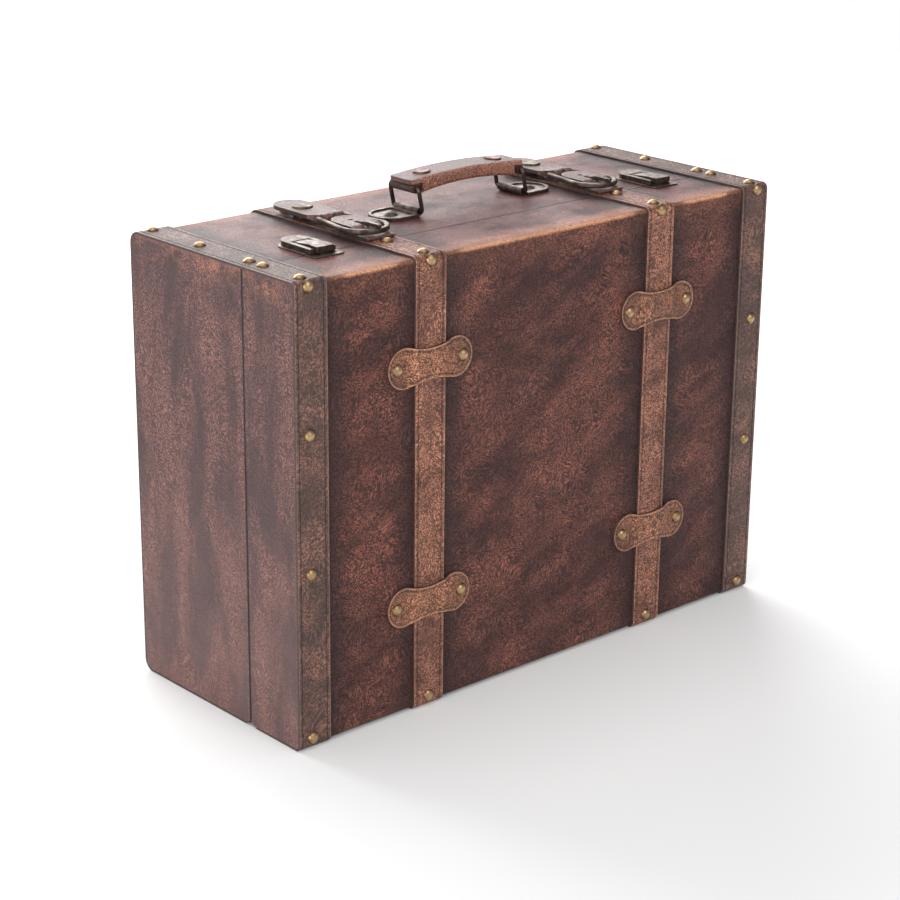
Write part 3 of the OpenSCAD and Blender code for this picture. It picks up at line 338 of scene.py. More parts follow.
# leatherette over the case
cover = {
    # the darkest colour, for the stains, the painted shade beside the straps and bands, and the seam
    "stainAndShade": (0.0120, 0.0048, 0.0072),
    "ground": (0.037, 0.0098, 0.0112),
    "copper": (0.480, 0.1620, 0.1020),
    "rose": (0.400, 0.1700, 0.1350),
    "grey": (0.048, 0.0280, 0.0300),
    "topTintAndSheen": (0.132, 0.0470, 0.0480),
    # plum tone and painted sheen for the top
    "floorGlow": (0.160, 0.1000, 0.0960),
    # painted light bounced from the floor, low on the ends
    "worn": (0.640, 0.2600, 0.1300),
    # the brightest wear, with a painted highlight along the crest of the long edges
    "bareAndGlint": (1.000, 0.5800, 0.3600),
    "spacing": 0.0019,
    "coarse": (1.0, 1.0, 0.5),  # share of the spacing, swirl, folds
    "fine": (0.5, 0.8, 0.3),
    "fineCrests": 0.36,
    "fineHeight": 0.45,
    "roughness": (0.42, 0.60),
    "specular": 0.34,
    "bump": 0.8,
    "bumpDepth": 0.0008,
    "skin": 0.0006,
    "topFade": (0.0008, 0.0030),
    "frontShow": 0.5,
    "cloudShow": (0.25, 0.35),  # at least, and more where the front's patches are
    # reach and strength of the painted shade beside the straps and bands
    "paintedShadeReach": (0.015, 0.028),  # at least, and more where it is stained
    "paintedShadeDark": 0.9,
    "greyShow": (1.0, -0.5),  # the pairs from here on: at least, and more where it is rubbed
    "topTintAndSheenShow": (0.35, 0.5),
    "crestShow": (0.13, 0.70),
    "floorGlowZ": (0.03, 0.23),
    "floorGlowLow": 0.6,
    "floorGlowStain": (0.45, 0.55),
    "topSmooth": 0.45,
    "wornEdge": (0.0038, 0.14),  # width, breakup
    "bareAndGlintEdge": (0.0026, 0.20),
    "haloEdge": (0.022, 0.22),
    "wornCrests": (0.45, 0.65),
    "bareAndGlintCrests": (0.35, 0.75),
    "haloCrests": (0.4, 1.2),
    "haloTop": (0.08, 0.42),
    "bareAndGlintShow": 0.7,
    "narrowBeside": (0.022, 0.0024),  # the worn edge narrows so near the leather, by so much
    "bandRubDepth": (0.001, 0.020),
    "bandRubShow": 0.6,
    "bandRubCrests": (0.3, 0.9),
    "seamLine": (0.0007, 0.0016),
    "seamDark": 0.92,
    "patches": {
        # lean, stretch, size, cover, softness, added to the seed
        "front": (20.0, (2.4, 1.4, 1.0), 0.026, 0.52, 0.15, 0),
        "cloud": (0.0, (1.0, 1.0, 1.0), 0.045, 0.55, 0.18, 1),
        "end": (0.0, (1.0, 0.9, 3.0), 0.034, 0.52, 0.11, 3),
        "top": (0.0, (1.5, 1.1, 1.0), 0.024, 0.62, 0.16, 5),
        "stain": (0.0, (1.0, 1.0, 1.0), 0.030, 0.50, 0.30, 7),
        "bandRub": (0.0, (1.0, 1.0, 1.0), 0.018, 0.45, 0.10, 9),
    },
}


def makeCover(name, values, seed):
    material, tree, shader, place = newMaterial(name)
    x, y, z = axes(tree, place)
    along = unsigned(tree, x)
    down = minus(tree, case["topZ"], z)
    onEnd = calc(tree, "GREATER_THAN", along, case["halfLength"] - values["skin"])
    offEnd = flip(tree, onEnd)
    onTop = fade(tree, down, *values["topFade"], 1.0, 0.0)
    grain, fine = grainPair(tree, place, values["spacing"], values["coarse"], values["fine"])
    patches = {}
    for key, (lean, stretch, size, amount, softness, added) in values["patches"].items():
        drawn = stretched(tree, place, lean, stretch)
        patches[key] = patchMask(tree, drawn, size, amount, softness, seed + added)
    stain = patches["stain"]
    # the rubbed patches lean over on the front and run down the ends
    clouds = times(tree, patches["cloud"], raised(tree, patches["front"], *values["cloudShow"]))
    onFront = plus(tree, times(tree, patches["front"], values["frontShow"]), clouds, clamp=True)
    patch = mixFloat(tree, onTop, mixFloat(tree, onEnd, onFront, patches["end"]), patches["top"])
    # painted shade beside the straps and bands: darker there, with fewer bright crests
    toStrap = minus(tree, unsigned(tree, minus(tree, along, case["strapX"])), case["strapHalf"])
    toBand = minus(tree, case["bandX"] - case["bandHalf"], along)
    toLeather = calc(tree, "MINIMUM", toStrap, toBand)
    shadowReach = raised(tree, stain, *values["paintedShadeReach"])
    paintedShade = times(tree, fade(tree, toLeather, 0.0, shadowReach, 1.0, 0.0), offEnd)
    rubbed = times(tree, patch, raised(tree, paintedShade, 1.0, -values["paintedShadeDark"]))
    # a dark ground, greyer on the ends and lighter towards their bottom with painted light bounced from
    # the floor, plum and lighter with painted sheen on the top
    ground = mixColour(tree, stain, values["stainAndShade"], values["ground"])
    grey = times(tree, onEnd, raised(tree, patch, *values["greyShow"]))
    # painted floor light: the ends lighter towards the bottom
    floorGlow = times(tree, fade(tree, z, *values["floorGlowZ"], values["floorGlowLow"], 0.0),
                 times(tree, onEnd, raised(tree, stain, *values["floorGlowStain"])))
    # plum tone and painted sheen: the top's ground lighter and pinker in patches
    topTintAndSheen = times(tree, onTop, raised(tree, patch, *values["topTintAndSheenShow"]))
    for mask, tint in ((grey, "grey"), (floorGlow, "floorGlow"), (topTintAndSheen, "topTintAndSheen")):
        ground = mixColour(tree, mask, ground, values[tint])
    # painted shade: the ground darkened beside the straps and bands
    ground = mixColour(tree, times(tree, paintedShade, values["paintedShadeDark"]), ground, values["stainAndShade"])
    # copper on the crests where it is rubbed
    crests = mixFloat(tree, values["fineCrests"], grain["Crest"], fine["Crest"])
    crests = times(tree, crests, raised(tree, onTop, 1.0, -values["topSmooth"]))
    show = times(tree, crests, raised(tree, rubbed, *values["crestShow"]), clamp=True)
    colour = mixColour(tree, show, ground, mixColour(tree, onEnd, values["copper"], values["rose"]))
    # the long edges are worn bright between the straps, brightest along the edge's crest with a painted
    # highlight, and with a softer rub beside them on the top
    fromFront, fromBack = plus(tree, y, case["halfDepth"]), minus(tree, case["halfDepth"], y)
    toEdge = reach(tree, calc(tree, "MINIMUM", fromFront, fromBack), down)
    width, narrow = values["narrowBeside"]
    toEdge = plus(tree, toEdge, fade(tree, toLeather, 0.0, width, narrow, 0.0))
    worn = wornMask(tree, place, toEdge, *values["wornEdge"])
    bareAndGlint = wornMask(tree, place, toEdge, *values["bareAndGlintEdge"])
    halo = wornMask(tree, place, toEdge, *values["haloEdge"])
    worn = times(tree, worn, raised(tree, fine["Crest"], *values["wornCrests"]), clamp=True)
    bareAndGlint = times(tree, bareAndGlint, raised(tree, fine["Crest"], *values["bareAndGlintCrests"]), clamp=True)
    halo = times(tree, halo, times(tree, raised(tree, onTop, *values["haloTop"]),
                                   raised(tree, crests, *values["haloCrests"])))
    worn = times(tree, calc(tree, "MAXIMUM", worn, halo), offEnd)
    # and the ends are rubbed under the top's edge
    near = fade(tree, down, *values["bandRubDepth"], values["bandRubShow"], 0.0)
    bandRub = times(tree, times(tree, patches["bandRub"], near),
                    times(tree, onEnd, raised(tree, crests, *values["bandRubCrests"])))
    colour = mixColour(tree, calc(tree, "MAXIMUM", worn, bandRub), colour, values["worn"])
    # painted highlight: the brightest worn colour along the crest of the long edges
    bareAndGlint = times(tree, times(tree, bareAndGlint, offEnd), values["bareAndGlintShow"])
    colour = mixColour(tree, bareAndGlint, colour, values["bareAndGlint"])
    offSeam = unsigned(tree, minus(tree, y, case["seamY"]))
    seam = fade(tree, offSeam, *values["seamLine"], values["seamDark"], 0.0)
    colour = mixColour(tree, seam, colour, values["stainAndShade"])
    join(tree, colour, shader.inputs["Base Color"])
    giveRoughness(tree, shader, mixFloat(tree, 0.5, show, patch), values["roughness"])
    shader.inputs["Specular IOR Level"].default_value = values["specular"]
    height = plus(tree, grain["Height"], times(tree, fine["Height"], values["fineHeight"]))
    giveBump(tree, shader, height, values["bump"], values["bumpDepth"])
    return material


# leather of the straps, bands, keepers and the handle
leathers = {
    "strap": {
        "ground": (0.050, 0.0180, 0.0135), "crest": (0.900, 0.3800, 0.2300),
        "edge": (0.600, 0.3000, 0.2100), "dyed": (0.026, 0.0115, 0.0105), "lineDark": 0.45, "rim": 0.30,
        "spacing": 0.0017, "folds": 0.5, "cover": 0.60, "patchy": (0.16, 0.58), "seed": 1.0,
        "roughness": (0.40, 0.60), "specular": 0.40, "bump": 0.7,
    },
    "band": {
        "ground": (0.030, 0.0132, 0.0108), "crest": (0.620, 0.2650, 0.1750),
        "edge": (0.440, 0.2400, 0.1700), "dyed": (0.018, 0.0100, 0.0095), "lineDark": 0.45, "rim": 0.28,
        "spacing": 0.0021, "folds": 0.6, "cover": 0.46, "patchy": (0.14, 0.46), "seed": 2.0,
        "roughness": (0.42, 0.62), "specular": 0.65, "bump": 0.8,
    },
    "keeper": {
        "ground": (0.046, 0.0185, 0.0140), "crest": (0.980, 0.4100, 0.2200),
        "edge": (0.640, 0.3400, 0.2200), "dyed": (0.022, 0.0100, 0.0095), "lineDark": 0.55, "rim": 0.42,
        "spacing": 0.0017, "folds": 0.5, "cover": 0.70, "patchy": (0.20, 0.62), "seed": 3.0,
        "roughness": (0.38, 0.58), "specular": 0.40, "bump": 0.7,
    },
    "tongue": {
        "ground": (0.056, 0.0240, 0.0200), "crest": (0.460, 0.2200, 0.1750),
        "edge": (0.420, 0.2400, 0.2000), "dyed": (0.026, 0.0130, 0.0120), "lineDark": 0.45, "rim": 0.30,
        "spacing": 0.0015, "folds": 0.4, "cover": 0.55, "patchy": (0.22, 0.46), "seed": 4.0,
        "roughness": (0.36, 0.54), "specular": 0.45, "bump": 0.5,
    },
    "grip": {
        "ground": (0.080, 0.0290, 0.0225), "crest": (0.900, 0.3700, 0.2200),
        "spacing": 0.0014, "folds": 0.2, "cover": 0.74, "patchy": (0.20, 0.62), "seed": 5.0,
        "roughness": (0.34, 0.52), "specular": 0.70, "bump": 0.8,
    },
    "loop": {
        "ground": (0.034, 0.0150, 0.0130), "crest": (0.240, 0.1150, 0.0900),
        "spacing": 0.0014, "folds": 0.3, "cover": 0.40, "patchy": (0.20, 0.50), "seed": 6.0,
        "roughness": (0.38, 0.56), "specular": 0.40, "bump": 0.5,
    },
}
leatherShape = {
    "swirl": 0.7, "fine": (0.45, 0.5, 0.2), "fineCrests": 0.35, "fineHeight": 0.45, "patch": (0.026, 0.2),
    "rim": (0.0013, 0.30), "line": (0.0002, 0.0008), "lineDepth": 0.9, "cut": (0.00005, 0.0003),
    "cutDark": 0.9, "round": 0.0004, "bumpDepth": 0.0005,
}


def makeLeather(name, values, depthOf=None, lineAt=0.00295, shade=None):
    # depthOf tells how far inside the piece's edges a point lies, and the pressed line is at lineAt
    material, tree, shader, place = newMaterial(name)
    shape = leatherShape
    coarse = (1.0, shape["swirl"], values["folds"])
    grain, fine = grainPair(tree, place, values["spacing"], coarse, shape["fine"])
    size, softness = shape["patch"]
    patch = patchMask(tree, place, size, values["cover"], softness, values["seed"])
    crests = mixFloat(tree, shape["fineCrests"], grain["Crest"], fine["Crest"])
    show = times(tree, crests, raised(tree, patch, *values["patchy"]), clamp=True)
    if shade:
        show = times(tree, show, shade(tree, place))
    colour = mixColour(tree, show, values["ground"], values["crest"])
    height = plus(tree, grain["Height"], times(tree, fine["Height"], shape["fineHeight"]))
    if depthOf:
        depth = depthOf(tree, place)
        rim = wornMask(tree, place, depth, *shape["rim"])
        line = fade(tree, unsigned(tree, minus(tree, depth, lineAt)), *shape["line"], 1.0, 0.0)
        cut = fade(tree, depth, *shape["cut"], shape["cutDark"], 0.0)
        colour = mixColour(tree, times(tree, line, values["lineDark"]), colour, values["dyed"])
        colour = mixColour(tree, times(tree, rim, values["rim"]), colour, values["edge"])
        colour = mixColour(tree, cut, colour, values["dyed"])  # the cut edges are dyed dark
        height = minus(tree, height, times(tree, line, shape["lineDepth"]))
    join(tree, colour, shader.inputs["Base Color"])
    giveRoughness(tree, shader, show, values["roughness"])
    shader.inputs["Specular IOR Level"].default_value = values["specular"]
    rounded = put(tree, "ShaderNodeBevel", {"Radius": shape["round"]}, samples=4).outputs["Normal"]
    giveBump(tree, shader, height, values["bump"], shape["bumpDepth"], rounded)
    return material


def stripDepth(tree, place, middle, half):  # inside a strap's two long edges
    x, y, z = axes(tree, place)
    return minus(tree, half, unsigned(tree, minus(tree, unsigned(tree, x), middle)))


def roundEndDepth(tree, place, middle, half, endMiddle):  # inside a strap with a half-round back end
    x, y, z = axes(tree, place)
    aside = unsigned(tree, minus(tree, unsigned(tree, x), middle))
    past = calc(tree, "MAXIMUM", minus(tree, y, endMiddle), 0.0)
    return minus(tree, half, reach(tree, aside, past))


grip = {"middleY": 0.011, "halfWidth": 0.0136, "edge": (0.00105, 0.00315), "onTop": 0.16}


def gripSides(tree, place):  # copper on the grip's sides, darker on its top leather
    x, y, z = axes(tree, place)
    depth = minus(tree, grip["halfWidth"], unsigned(tree, minus(tree, y, grip["middleY"])))
    return fade(tree, depth, *grip["edge"], 1.0, grip["onTop"])


keeper = {
    "halfLength": 0.0375,
    "lobe": 0.0145,
    "waist": 0.011,
    "lineAt": 0.0024,
    "bright": (0.010, 0.026),
    "atNails": 0.62,
}


def keeperFrame(tree, place):  # distances from the nearest keeper's middle, lengthwise and across
    x, y, z = axes(tree, place)
    aside = unsigned(tree, minus(tree, unsigned(tree, x), case["strapX"]))
    low, high = (unsigned(tree, minus(tree, z, middle)) for middle in case["keeperZ"])
    return aside, calc(tree, "MINIMUM", low, high)


def keeperDepth(tree, place):  # inside the waisted outline: a lobe at each end, hollow arcs between
    aside, off = keeperFrame(tree, place)
    lobe, waist = keeper["lobe"], keeper["waist"]
    lobeX = keeper["halfLength"] - lobe
    hollow = (lobeX ** 2 + waist ** 2 - lobe ** 2) / (2 * (lobe - waist))
    neckX = lobeX * (1 - lobe / (lobe + hollow))
    inLobe = minus(tree, lobe, reach(tree, minus(tree, aside, lobeX), off))
    inWaist = minus(tree, reach(tree, aside, minus(tree, off, waist + hollow)), hollow)
    return mixFloat(tree, calc(tree, "LESS_THAN", aside, neckX), inLobe, inWaist)


def keeperMiddle(tree, place):  # bright copper over the strap, darker round the nails
    aside, off = keeperFrame(tree, place)
    return fade(tree, aside, *keeper["bright"], 1.0, keeper["atNails"])


outlines = {  # middle and half width, and where the half-round end has its middle
    "strap": (case["strapX"], case["strapHalf"]),
    "band": (case["bandX"], case["bandHalf"]),
    "tongue": (case["strapX"], 0.0125, -0.005),
    "tab": (case["strapX"], 0.0130, 0.0585),
}


# metal of the fittings
metals = {
    "bronze": {
        "bright": (0.150, 0.115, 0.092), "dark": (0.068, 0.050, 0.041), "edge": (0.330, 0.255, 0.205),
        "size": 0.006, "roughness": (0.42, 0.62), "round": 0.0005,
    },
    "darkBronze": {
        "bright": (0.122, 0.086, 0.069), "dark": (0.051, 0.036, 0.031), "edge": (0.255, 0.180, 0.145),
        "size": 0.006, "roughness": (0.34, 0.58), "round": 0.0003,
    },
    "brass": {
        "bright": (0.385, 0.246, 0.126), "dark": (0.090, 0.050, 0.026), "edge": (0.580, 0.400, 0.220),
        "size": 0.004, "roughness": (0.30, 0.52), "round": 0.0003,
    },
    "cap": {
        "bright": (0.185, 0.148, 0.104), "dark": (0.085, 0.064, 0.046), "edge": (0.330, 0.265, 0.185),
        "size": 0.005, "roughness": (0.48, 0.66), "round": 0.0004,
    },
    "rose": {
        "bright": (0.215, 0.125, 0.098), "dark": (0.090, 0.048, 0.038), "edge": (0.360, 0.225, 0.175),
        "size": 0.005, "roughness": (0.46, 0.64), "round": 0.0004,
    },
}
metalShape = {
    "edge": (0.90, 0.995), "edgeShow": 0.6, "rubShow": 0.8, "foot": (0.02, 0.30), "footDark": 0.85,
    "streaks": 0.4, "bump": 0.18, "bumpDepth": 0.0002,
}


def makeMetal(name, values, rubAttribute=None):
    material, tree, shader, place = newMaterial(name)
    shape = metalShape
    marks = useGroup(tree, tarnishGroup, {"Vector": place, "Size": values["size"]})
    rounded = put(tree, "ShaderNodeBevel", {"Radius": values["round"]}, samples=4).outputs["Normal"]
    flat = put(tree, "ShaderNodeNewGeometry").outputs["Normal"]
    edge = fade(tree, vectorCalc(tree, "DOT_PRODUCT", rounded, flat), *shape["edge"], 1.0, 0.0)
    colour = mixColour(tree, marks["Blotch"], values["dark"], values["bright"])
    if rubAttribute:  # bright on a dome's top, dark at its foot
        rub = put(tree, "ShaderNodeAttribute", attribute_name=rubAttribute).outputs["Fac"]
        foot = fade(tree, rub, *shape["foot"], shape["footDark"], 0.0)
        colour = mixColour(tree, times(tree, rub, shape["rubShow"]), colour, values["edge"])
        colour = mixColour(tree, foot, colour, values["dark"])
    colour = mixColour(tree, times(tree, edge, shape["edgeShow"]), colour, values["edge"])
    join(tree, colour, shader.inputs["Base Color"])
    shader.inputs["Metallic"].default_value = 1.0
    shine = mixFloat(tree, shape["streaks"], marks["Blotch"], marks["Streaks"])
    giveRoughness(tree, shader, shine, values["roughness"])
    giveBump(tree, shader, marks["Pits"], shape["bump"], shape["bumpDepth"], rounded)
    return material


# raw boards inside
wood = {
    "light": (0.55, 0.40, 0.25),
    "dark": (0.36, 0.24, 0.14),
    "roughness": (0.62, 0.74),
    "lengthwise": (2.0, 24.0, 24.0),
    "ringScale": 3.0,
    "fibreScale": 22.0,
    "ringWarp": 0.6,
    "fibreShare": 0.3,
    "lightFade": (0.35, 0.65),
    "shineFade": (0.3, 0.7),
    "bump": 0.2,
    "bumpDepth": 0.0003,
}


def makeWood(name, values):
    material, tree, shader, place = newMaterial(name)
    drawn = put(tree, "ShaderNodeMapping", {
        "Vector": place, "Scale": values["lengthwise"]}).outputs["Vector"]
    rings = cloud(tree, drawn, values["ringScale"], 5.0, distortion=values["ringWarp"])["Fac"]
    fibre = cloud(tree, drawn, values["fibreScale"], 3.0)["Fac"]
    mask = fade(tree, mixFloat(tree, values["fibreShare"], rings, fibre), *values["lightFade"])
    join(tree, mixColour(tree, mask, values["dark"], values["light"]), shader.inputs["Base Color"])
    join(tree, fade(tree, fibre, *values["shineFade"], *values["roughness"]), shader.inputs["Roughness"])
    giveBump(tree, shader, fibre, values["bump"], values["bumpDepth"])
    return material


# plain-woven cotton on the insides
lining = {
    "thread": (0.300, 0.205, 0.130),
    "gap": (0.150, 0.095, 0.058),
    "pitch": 0.0012,
    "slubScale": 60.0,
    "roughness": (0.85, 0.75),
    "bump": 0.3,
    "bumpDepth": 0.0003,
}


def makeLining(name, values):
    material, tree, shader, place = newMaterial(name)
    turns = 2 * math.pi / values["pitch"]
    a, b, c = (calc(tree, "SINE", times(tree, part, turns)) for part in axes(tree, place))
    weave = plus(tree, times(tree, a, c), plus(tree, times(tree, a, b), times(tree, b, c)))
    slub = minus(tree, cloud(tree, place, values["slubScale"], 4.0)["Fac"], 0.5)
    mask = plus(tree, fade(tree, weave, -1.0, 1.0), slub, clamp=True)
    join(tree, mixColour(tree, mask, values["gap"], values["thread"]), shader.inputs["Base Color"])
    join(tree, fade(tree, mask, 0.0, 1.0, *values["roughness"]), shader.inputs["Roughness"])
    giveBump(tree, shader, mask, values["bump"], values["bumpDepth"])
    return material


def inStrip(name):
    return lambda tree, place: stripDepth(tree, place, *outlines[name])


def inRoundEnd(name):
    return lambda tree, place: roundEndDepth(tree, place, *outlines[name])


finishes = {
    "lidCover": makeCover("lidCover", cover, 11.0),
    "baseCover": makeCover("baseCover", cover, 23.0),
    "strap": makeLeather("strapLeather", leathers["strap"], inStrip("strap")),
    "band": makeLeather("bandLeather", leathers["band"], inStrip("band")),
    "keeper": makeLeather("keeperLeather", leathers["keeper"], keeperDepth,
                          keeper["lineAt"], keeperMiddle),
    "tongue": makeLeather("tongueLeather", leathers["tongue"], inRoundEnd("tongue")),
    "tab": makeLeather("tabLeather", leathers["tongue"], inRoundEnd("tab")),
    "grip": makeLeather("gripLeather", leathers["grip"], shade=gripSides),
    "loop": makeLeather("loopLeather", leathers["loop"]),
    "bronze": makeMetal("agedBronze", metals["bronze"]),
    "darkBronze": makeMetal("darkBronze", metals["darkBronze"]),
    "brass": makeMetal("agedBrass", metals["brass"]),
    "cap": makeMetal("snapCap", metals["cap"]),
    "nailBrass": makeMetal("nailBrass", metals["brass"], "rub"),
    "rose": makeMetal("roseCopper", metals["rose"]),
    "wood": makeWood("rawBoard", wood),
    "lining": makeLining("cottonLining", lining),
}
print("finishes built:", len(finishes))


# which finish each node of the frame gets, by its name or by how its name ends
nodeFinishes = {
    "lid_cover": "lidCover", "base_cover": "baseCover", "snap_magnets": "darkBronze", "grip": "grip",
    "grip_loops": "loop", "grip_rivets": "rose", "hinge_pins": "darkBronze", "clasp_pins": "darkBronze",
    "handle_plate_rivets": "bronze", "base_nails": "brass", "lid_nails": "brass",
}
endings = {
    "_board": "wood", "_panel": "wood", "_lining": "lining", "_band": "band",
    "_buckle_strap": "tongue", "_snap_tab": "tab", "_strap": "strap", "_snap_stud": "cap",
    "_ring": "darkBronze", "_leaf": "darkBronze", "_plate": "bronze", "_clasp_body": "bronze",
    "_latch": "bronze", "_buckle": "bronze", "_prong": "bronze",
}


def finishOf(name):
    if name in nodeFinishes:
        return nodeFinishes[name]
    if name.startswith("keeper"):
        return "keeper"
    return next(finish for ending, finish in endings.items() if name.endswith(ending))


for name, item in nodes.items():
    item.data.materials.clear()
    item.data.materials.append(finishes[finishOf(name)])
print("frame dressed")


# dome nails with a rolled rim and hammered tops
nails = {
    "radius": 0.0045,
    "height": 0.0026,
    "skirt": 0.0004,
    "rim": (0.985, 0.00022, 0.05),
    "rings": (0.93, 0.85, 0.75, 0.63, 0.5, 0.36, 0.22, 0.1),
    "domeStep": 0.00002,
    "rubPower": 1.5,
    "segments": 40,
    "dents": 0.00009,
    "dentScale": 420,
    "tilt": 4.0,
    "seat": 12.0,
    "lift": 0.00012,
    "bandX": 0.2135,
    "leather": 0.0016,
    "keeperLeather": 0.0018,
    "keeperReach": 0.0293,
    "roundings": (0.003, 0.007),
    "bandSeamY": -0.0435,
    "strapSeamY": -0.0450,
    "frontTopY": -0.082,
    "lowZ": 0.0080,
    "middleZ": (0.1266, 0.2236),
    "bandTopY": (-0.029, 0.0255, 0.080),
    "strapTopY": 0.06605,
}


def nailShape(mesh, layer, point, outward, seed):
    r, h = nails["radius"], nails["height"]
    ball = (r * r + h * h) / (2 * h)
    rimShare, rimHeight, rimRub = nails["rim"]
    # radius, height and how rubbed, from the skirt up
    rings = [(r, -nails["skirt"], 0.0), (r, 0.0, 0.0), (r * rimShare, rimHeight, rimRub)]
    for k in nails["rings"]:
        dome = math.sqrt(ball ** 2 - (r * k) ** 2) - (ball - h)
        rings.append((r * k, dome + nails["domeStep"], 1 - k ** nails["rubPower"]))
    turn = Vector(outward).to_track_quat("Z", "Y").to_matrix()
    spin = random.Random(seed).uniform(0, 2 * math.pi)
    count = nails["segments"]
    rows = []
    for radius, height, rub in rings:
        row = []
        for i in range(count):
            a = spin + 2 * math.pi * i / count
            local = Vector((radius * math.cos(a), radius * math.sin(a), height))
            rough = noise.noise(local * nails["dentScale"] + Vector((seed * 7.1, 0, 0)))
            dent = (rough - 1) * nails["dents"] * rub  # only inwards
            vert = mesh.verts.new(Vector(point) + turn @ (local + Vector((0, 0, dent))))
            vert[layer] = rub
            row.append(vert)
        rows.append(row)
    tip = mesh.verts.new(Vector(point) + turn @ Vector((0, 0, h)))
    tip[layer] = 1.0
    for lower, upper in zip(rows, rows[1:]):
        for i in range(count):
            mesh.faces.new((lower[i], lower[(i + 1) % count], upper[(i + 1) % count], upper[i]))
    for i in range(count):
        mesh.faces.new((rows[-1][i], rows[-1][(i + 1) % count], tip))
    mesh.faces.new(list(reversed(rows[0])))


def makeNails(name, places):
    mesh = bmesh.new()
    layer = mesh.verts.layers.float.new("rub")
    for seed, (point, outward) in enumerate(places):
        nailShape(mesh, layer, point, outward, seed)
    data = bpy.data.meshes.new(name)
    mesh.to_mesh(data)
    mesh.free()
    for face in data.polygons:
        face.use_smooth = True
    data.materials.append(finishes["nailBrass"])
    piece = bpy.data.objects.new(name, data)
    scene.collection.objects.link(piece)
    return piece


def edgePlace(x, facing, up, radius):  # on a rounded long edge, at its front or back, top or bottom
    tilt, seat = math.radians(nails["tilt"]), math.radians(nails["seat"])
    rounded = Vector((0, facing * math.cos(seat), up * math.sin(seat)))
    outward = Vector((0, facing * math.cos(tilt), up * math.sin(tilt)))
    y = facing * (case["halfDepth"] - radius)
    z = case["topZ"] - radius if up > 0 else case["bottomZ"] + radius
    return Vector((x, y, z)) + rounded * (radius + nails["leather"]) + outward * nails["lift"], outward


def nailPlaces():
    lid, base = [], []
    top = case["topZ"] + nails["leather"]
    face = case["halfDepth"] + nails["leather"]
    keeperFace = case["halfDepth"] + nails["keeperLeather"]
    frontRound, backRound = nails["roundings"]
    for side in (-1, 1):
        band, strap = side * nails["bandX"], side * case["strapX"]
        lid.append(((band, nails["bandSeamY"], top), (0, 0, 1)))
        lid.append(((strap, nails["strapSeamY"], top), (0, 0, 1)))
        for x in (band, strap):
            lid.append(((x, nails["frontTopY"], top), (0, 0, 1)))
            lid.append(edgePlace(x, -1, 1, frontRound))
            lid.append(((x, -face, nails["lowZ"]), (0, -1, 0)))
            base += [edgePlace(x, 1, up, backRound) for up in (-1, 1)]
        for z in nails["middleZ"]:
            lid.append(((band, -face, z), (0, -1, 0)))
            base.append(((band, face, z), (0, 1, 0)))
        for y in nails["bandTopY"]:
            base.append(((band, y, top), (0, 0, 1)))
        base.append(((strap, nails["strapTopY"], top), (0, 0, 1)))
        for z in case["keeperZ"]:
            for aside in (-nails["keeperReach"], nails["keeperReach"]):
                lid.append(((strap + aside, -keeperFace, z), (0, -1, 0)))
    return lid, base


lidPlaces, basePlaces = nailPlaces()
for name, node, body, places in (("lidDomeNails", "lid_nails", "lid", lidPlaces),
                                 ("baseDomeNails", "base_nails", "base", basePlaces)):
    piece = makeNails(name, places)
    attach(piece, body)
    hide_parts(node)
print("nails driven:", len(lidPlaces), "in the lid,", len(basePlaces), "in the base")


# pale studio
studio = {
    "floor": (0.86, 0.86, 0.86),
    "floorRoughness": 0.9,
    "floorCloud": 2.0,
    "floorUneven": 0.985,
    "floorHalf": (5, 2.6),
    "floorZ": -0.0002,
    "lookBelow": 0.9,
    "lookSamples": 36,
    "clear": (0.97, 0.999),
    "sky": 0.34,
    "lamps": [
        # name, place, size, power, aims at
        ("window", (0.66, 2.50, 1.45), (3.6, 1.8), 132.0, (0.0, 0.0, 0.25)),
        ("left", (-2.2, -0.8, 0.45), (1.5, 0.9), 40.0, (0.0, 0.0, 0.05)),
        ("front", (-0.2, -2.6, 1.9), (1.6, 1.2), 34.0, (0.0, 0.0, 0.15)),
        ("overhead", (-0.2, 0.0, 2.6), (2.0, 2.0), 24.0, (0.0, 0.0, 0.0)),
    ],
}


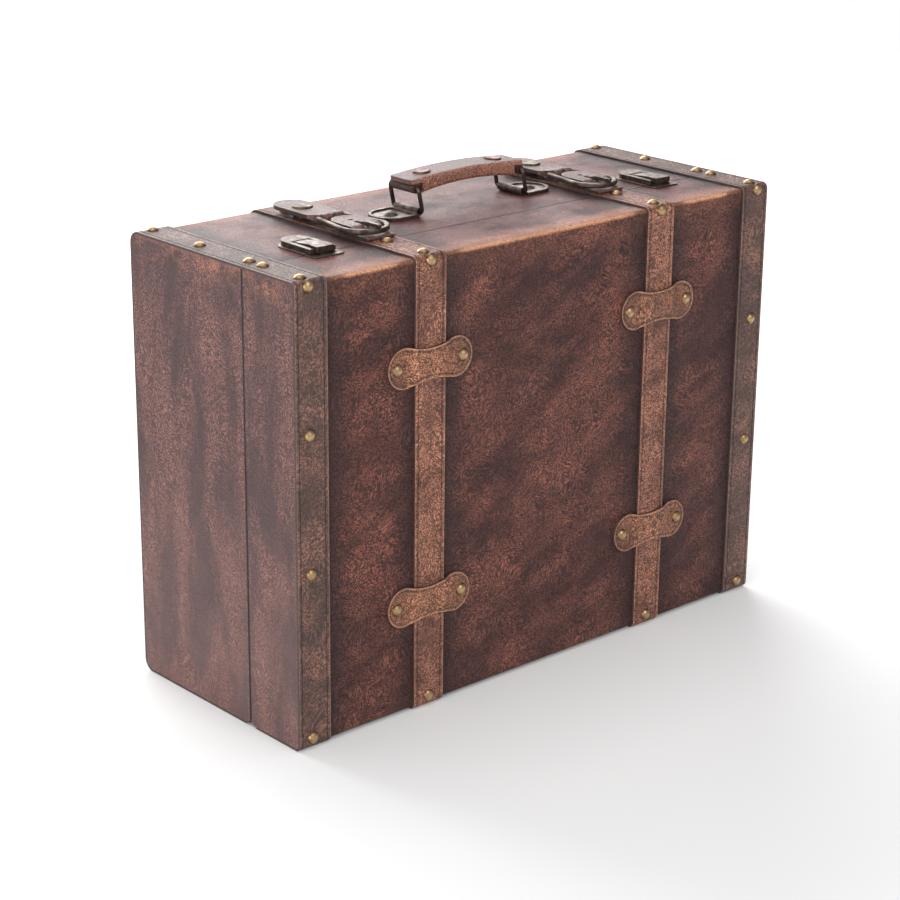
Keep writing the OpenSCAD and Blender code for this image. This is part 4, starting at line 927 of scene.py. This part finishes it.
def makeFloorFinish(values):
    material, tree, shader, place = newMaterial("paleFloor")
    uneven = cloud(tree, place, values["floorCloud"], 2.0)["Fac"]
    darker = [part * values["floorUneven"] for part in values["floor"]]
    join(tree, mixColour(tree, uneven, values["floor"], darker), shader.inputs["Base Color"])
    shader.inputs["Roughness"].default_value = values["floorRoughness"]
    # the lid opens below the ground, so the floor clears away over anything that is under it
    under = put(tree, "ShaderNodeAmbientOcclusion", {"Distance": values["lookBelow"]},
                inside=True, samples=values["lookSamples"])
    clear = fade(tree, under.outputs["AO"], *values["clear"], 1.0, 0.0)
    cleared = put(tree, "ShaderNodeMixShader", {"Fac": clear})
    join(tree, shader.outputs["BSDF"], cleared.inputs[1])
    join(tree, put(tree, "ShaderNodeBsdfTransparent").outputs["BSDF"], cleared.inputs[2])
    join(tree, cleared.outputs["Shader"], tree.nodes["Material Output"].inputs["Surface"])
    return material


def makeFloor(values):
    turn = Matrix.Rotation(math.radians(view["azimuth"]), 3, "Z")
    halfX, halfY = values["floorHalf"]
    corners = ((-halfX, -halfY), (halfX, -halfY), (halfX, halfY), (-halfX, halfY))
    mesh = bmesh.new()
    mesh.faces.new([mesh.verts.new(turn @ Vector((x, y, values["floorZ"]))) for x, y in corners])
    data = bpy.data.meshes.new("studioFloor")
    mesh.to_mesh(data)
    mesh.free()
    data.materials.append(makeFloorFinish(values))
    floor = bpy.data.objects.new("studioFloor", data)
    scene.collection.objects.link(floor)


def makeSky(values):  # white to look at, but a soft light
    world = bpy.data.worlds.new("studioWorld")
    world.use_nodes = True
    scene.world = world
    tree = world.node_tree
    back = tree.nodes["Background"]
    back.inputs["Color"].default_value = (1.0, 1.0, 1.0, 1.0)
    seen = put(tree, "ShaderNodeLightPath").outputs["Is Camera Ray"]
    join(tree, fade(tree, seen, 0.0, 1.0, values["sky"], 1.0), back.inputs["Strength"])


def makeLamps(values):
    for name, place, extent, power, target in values["lamps"]:
        lamp = bpy.data.lights.new(name, "AREA")
        lamp.shape = "RECTANGLE"
        lamp.size, lamp.size_y = extent
        lamp.energy = power
        item = bpy.data.objects.new(name, lamp)
        item.location = place
        item.rotation_euler = (Vector(target) - Vector(place)).to_track_quat("-Z", "Y").to_euler()
        scene.collection.objects.link(item)


makeFloor(studio)
makeSky(studio)
makeLamps(studio)
scene.view_settings.view_transform = "Standard"
scene.view_settings.look = "None"
print("studio lit")
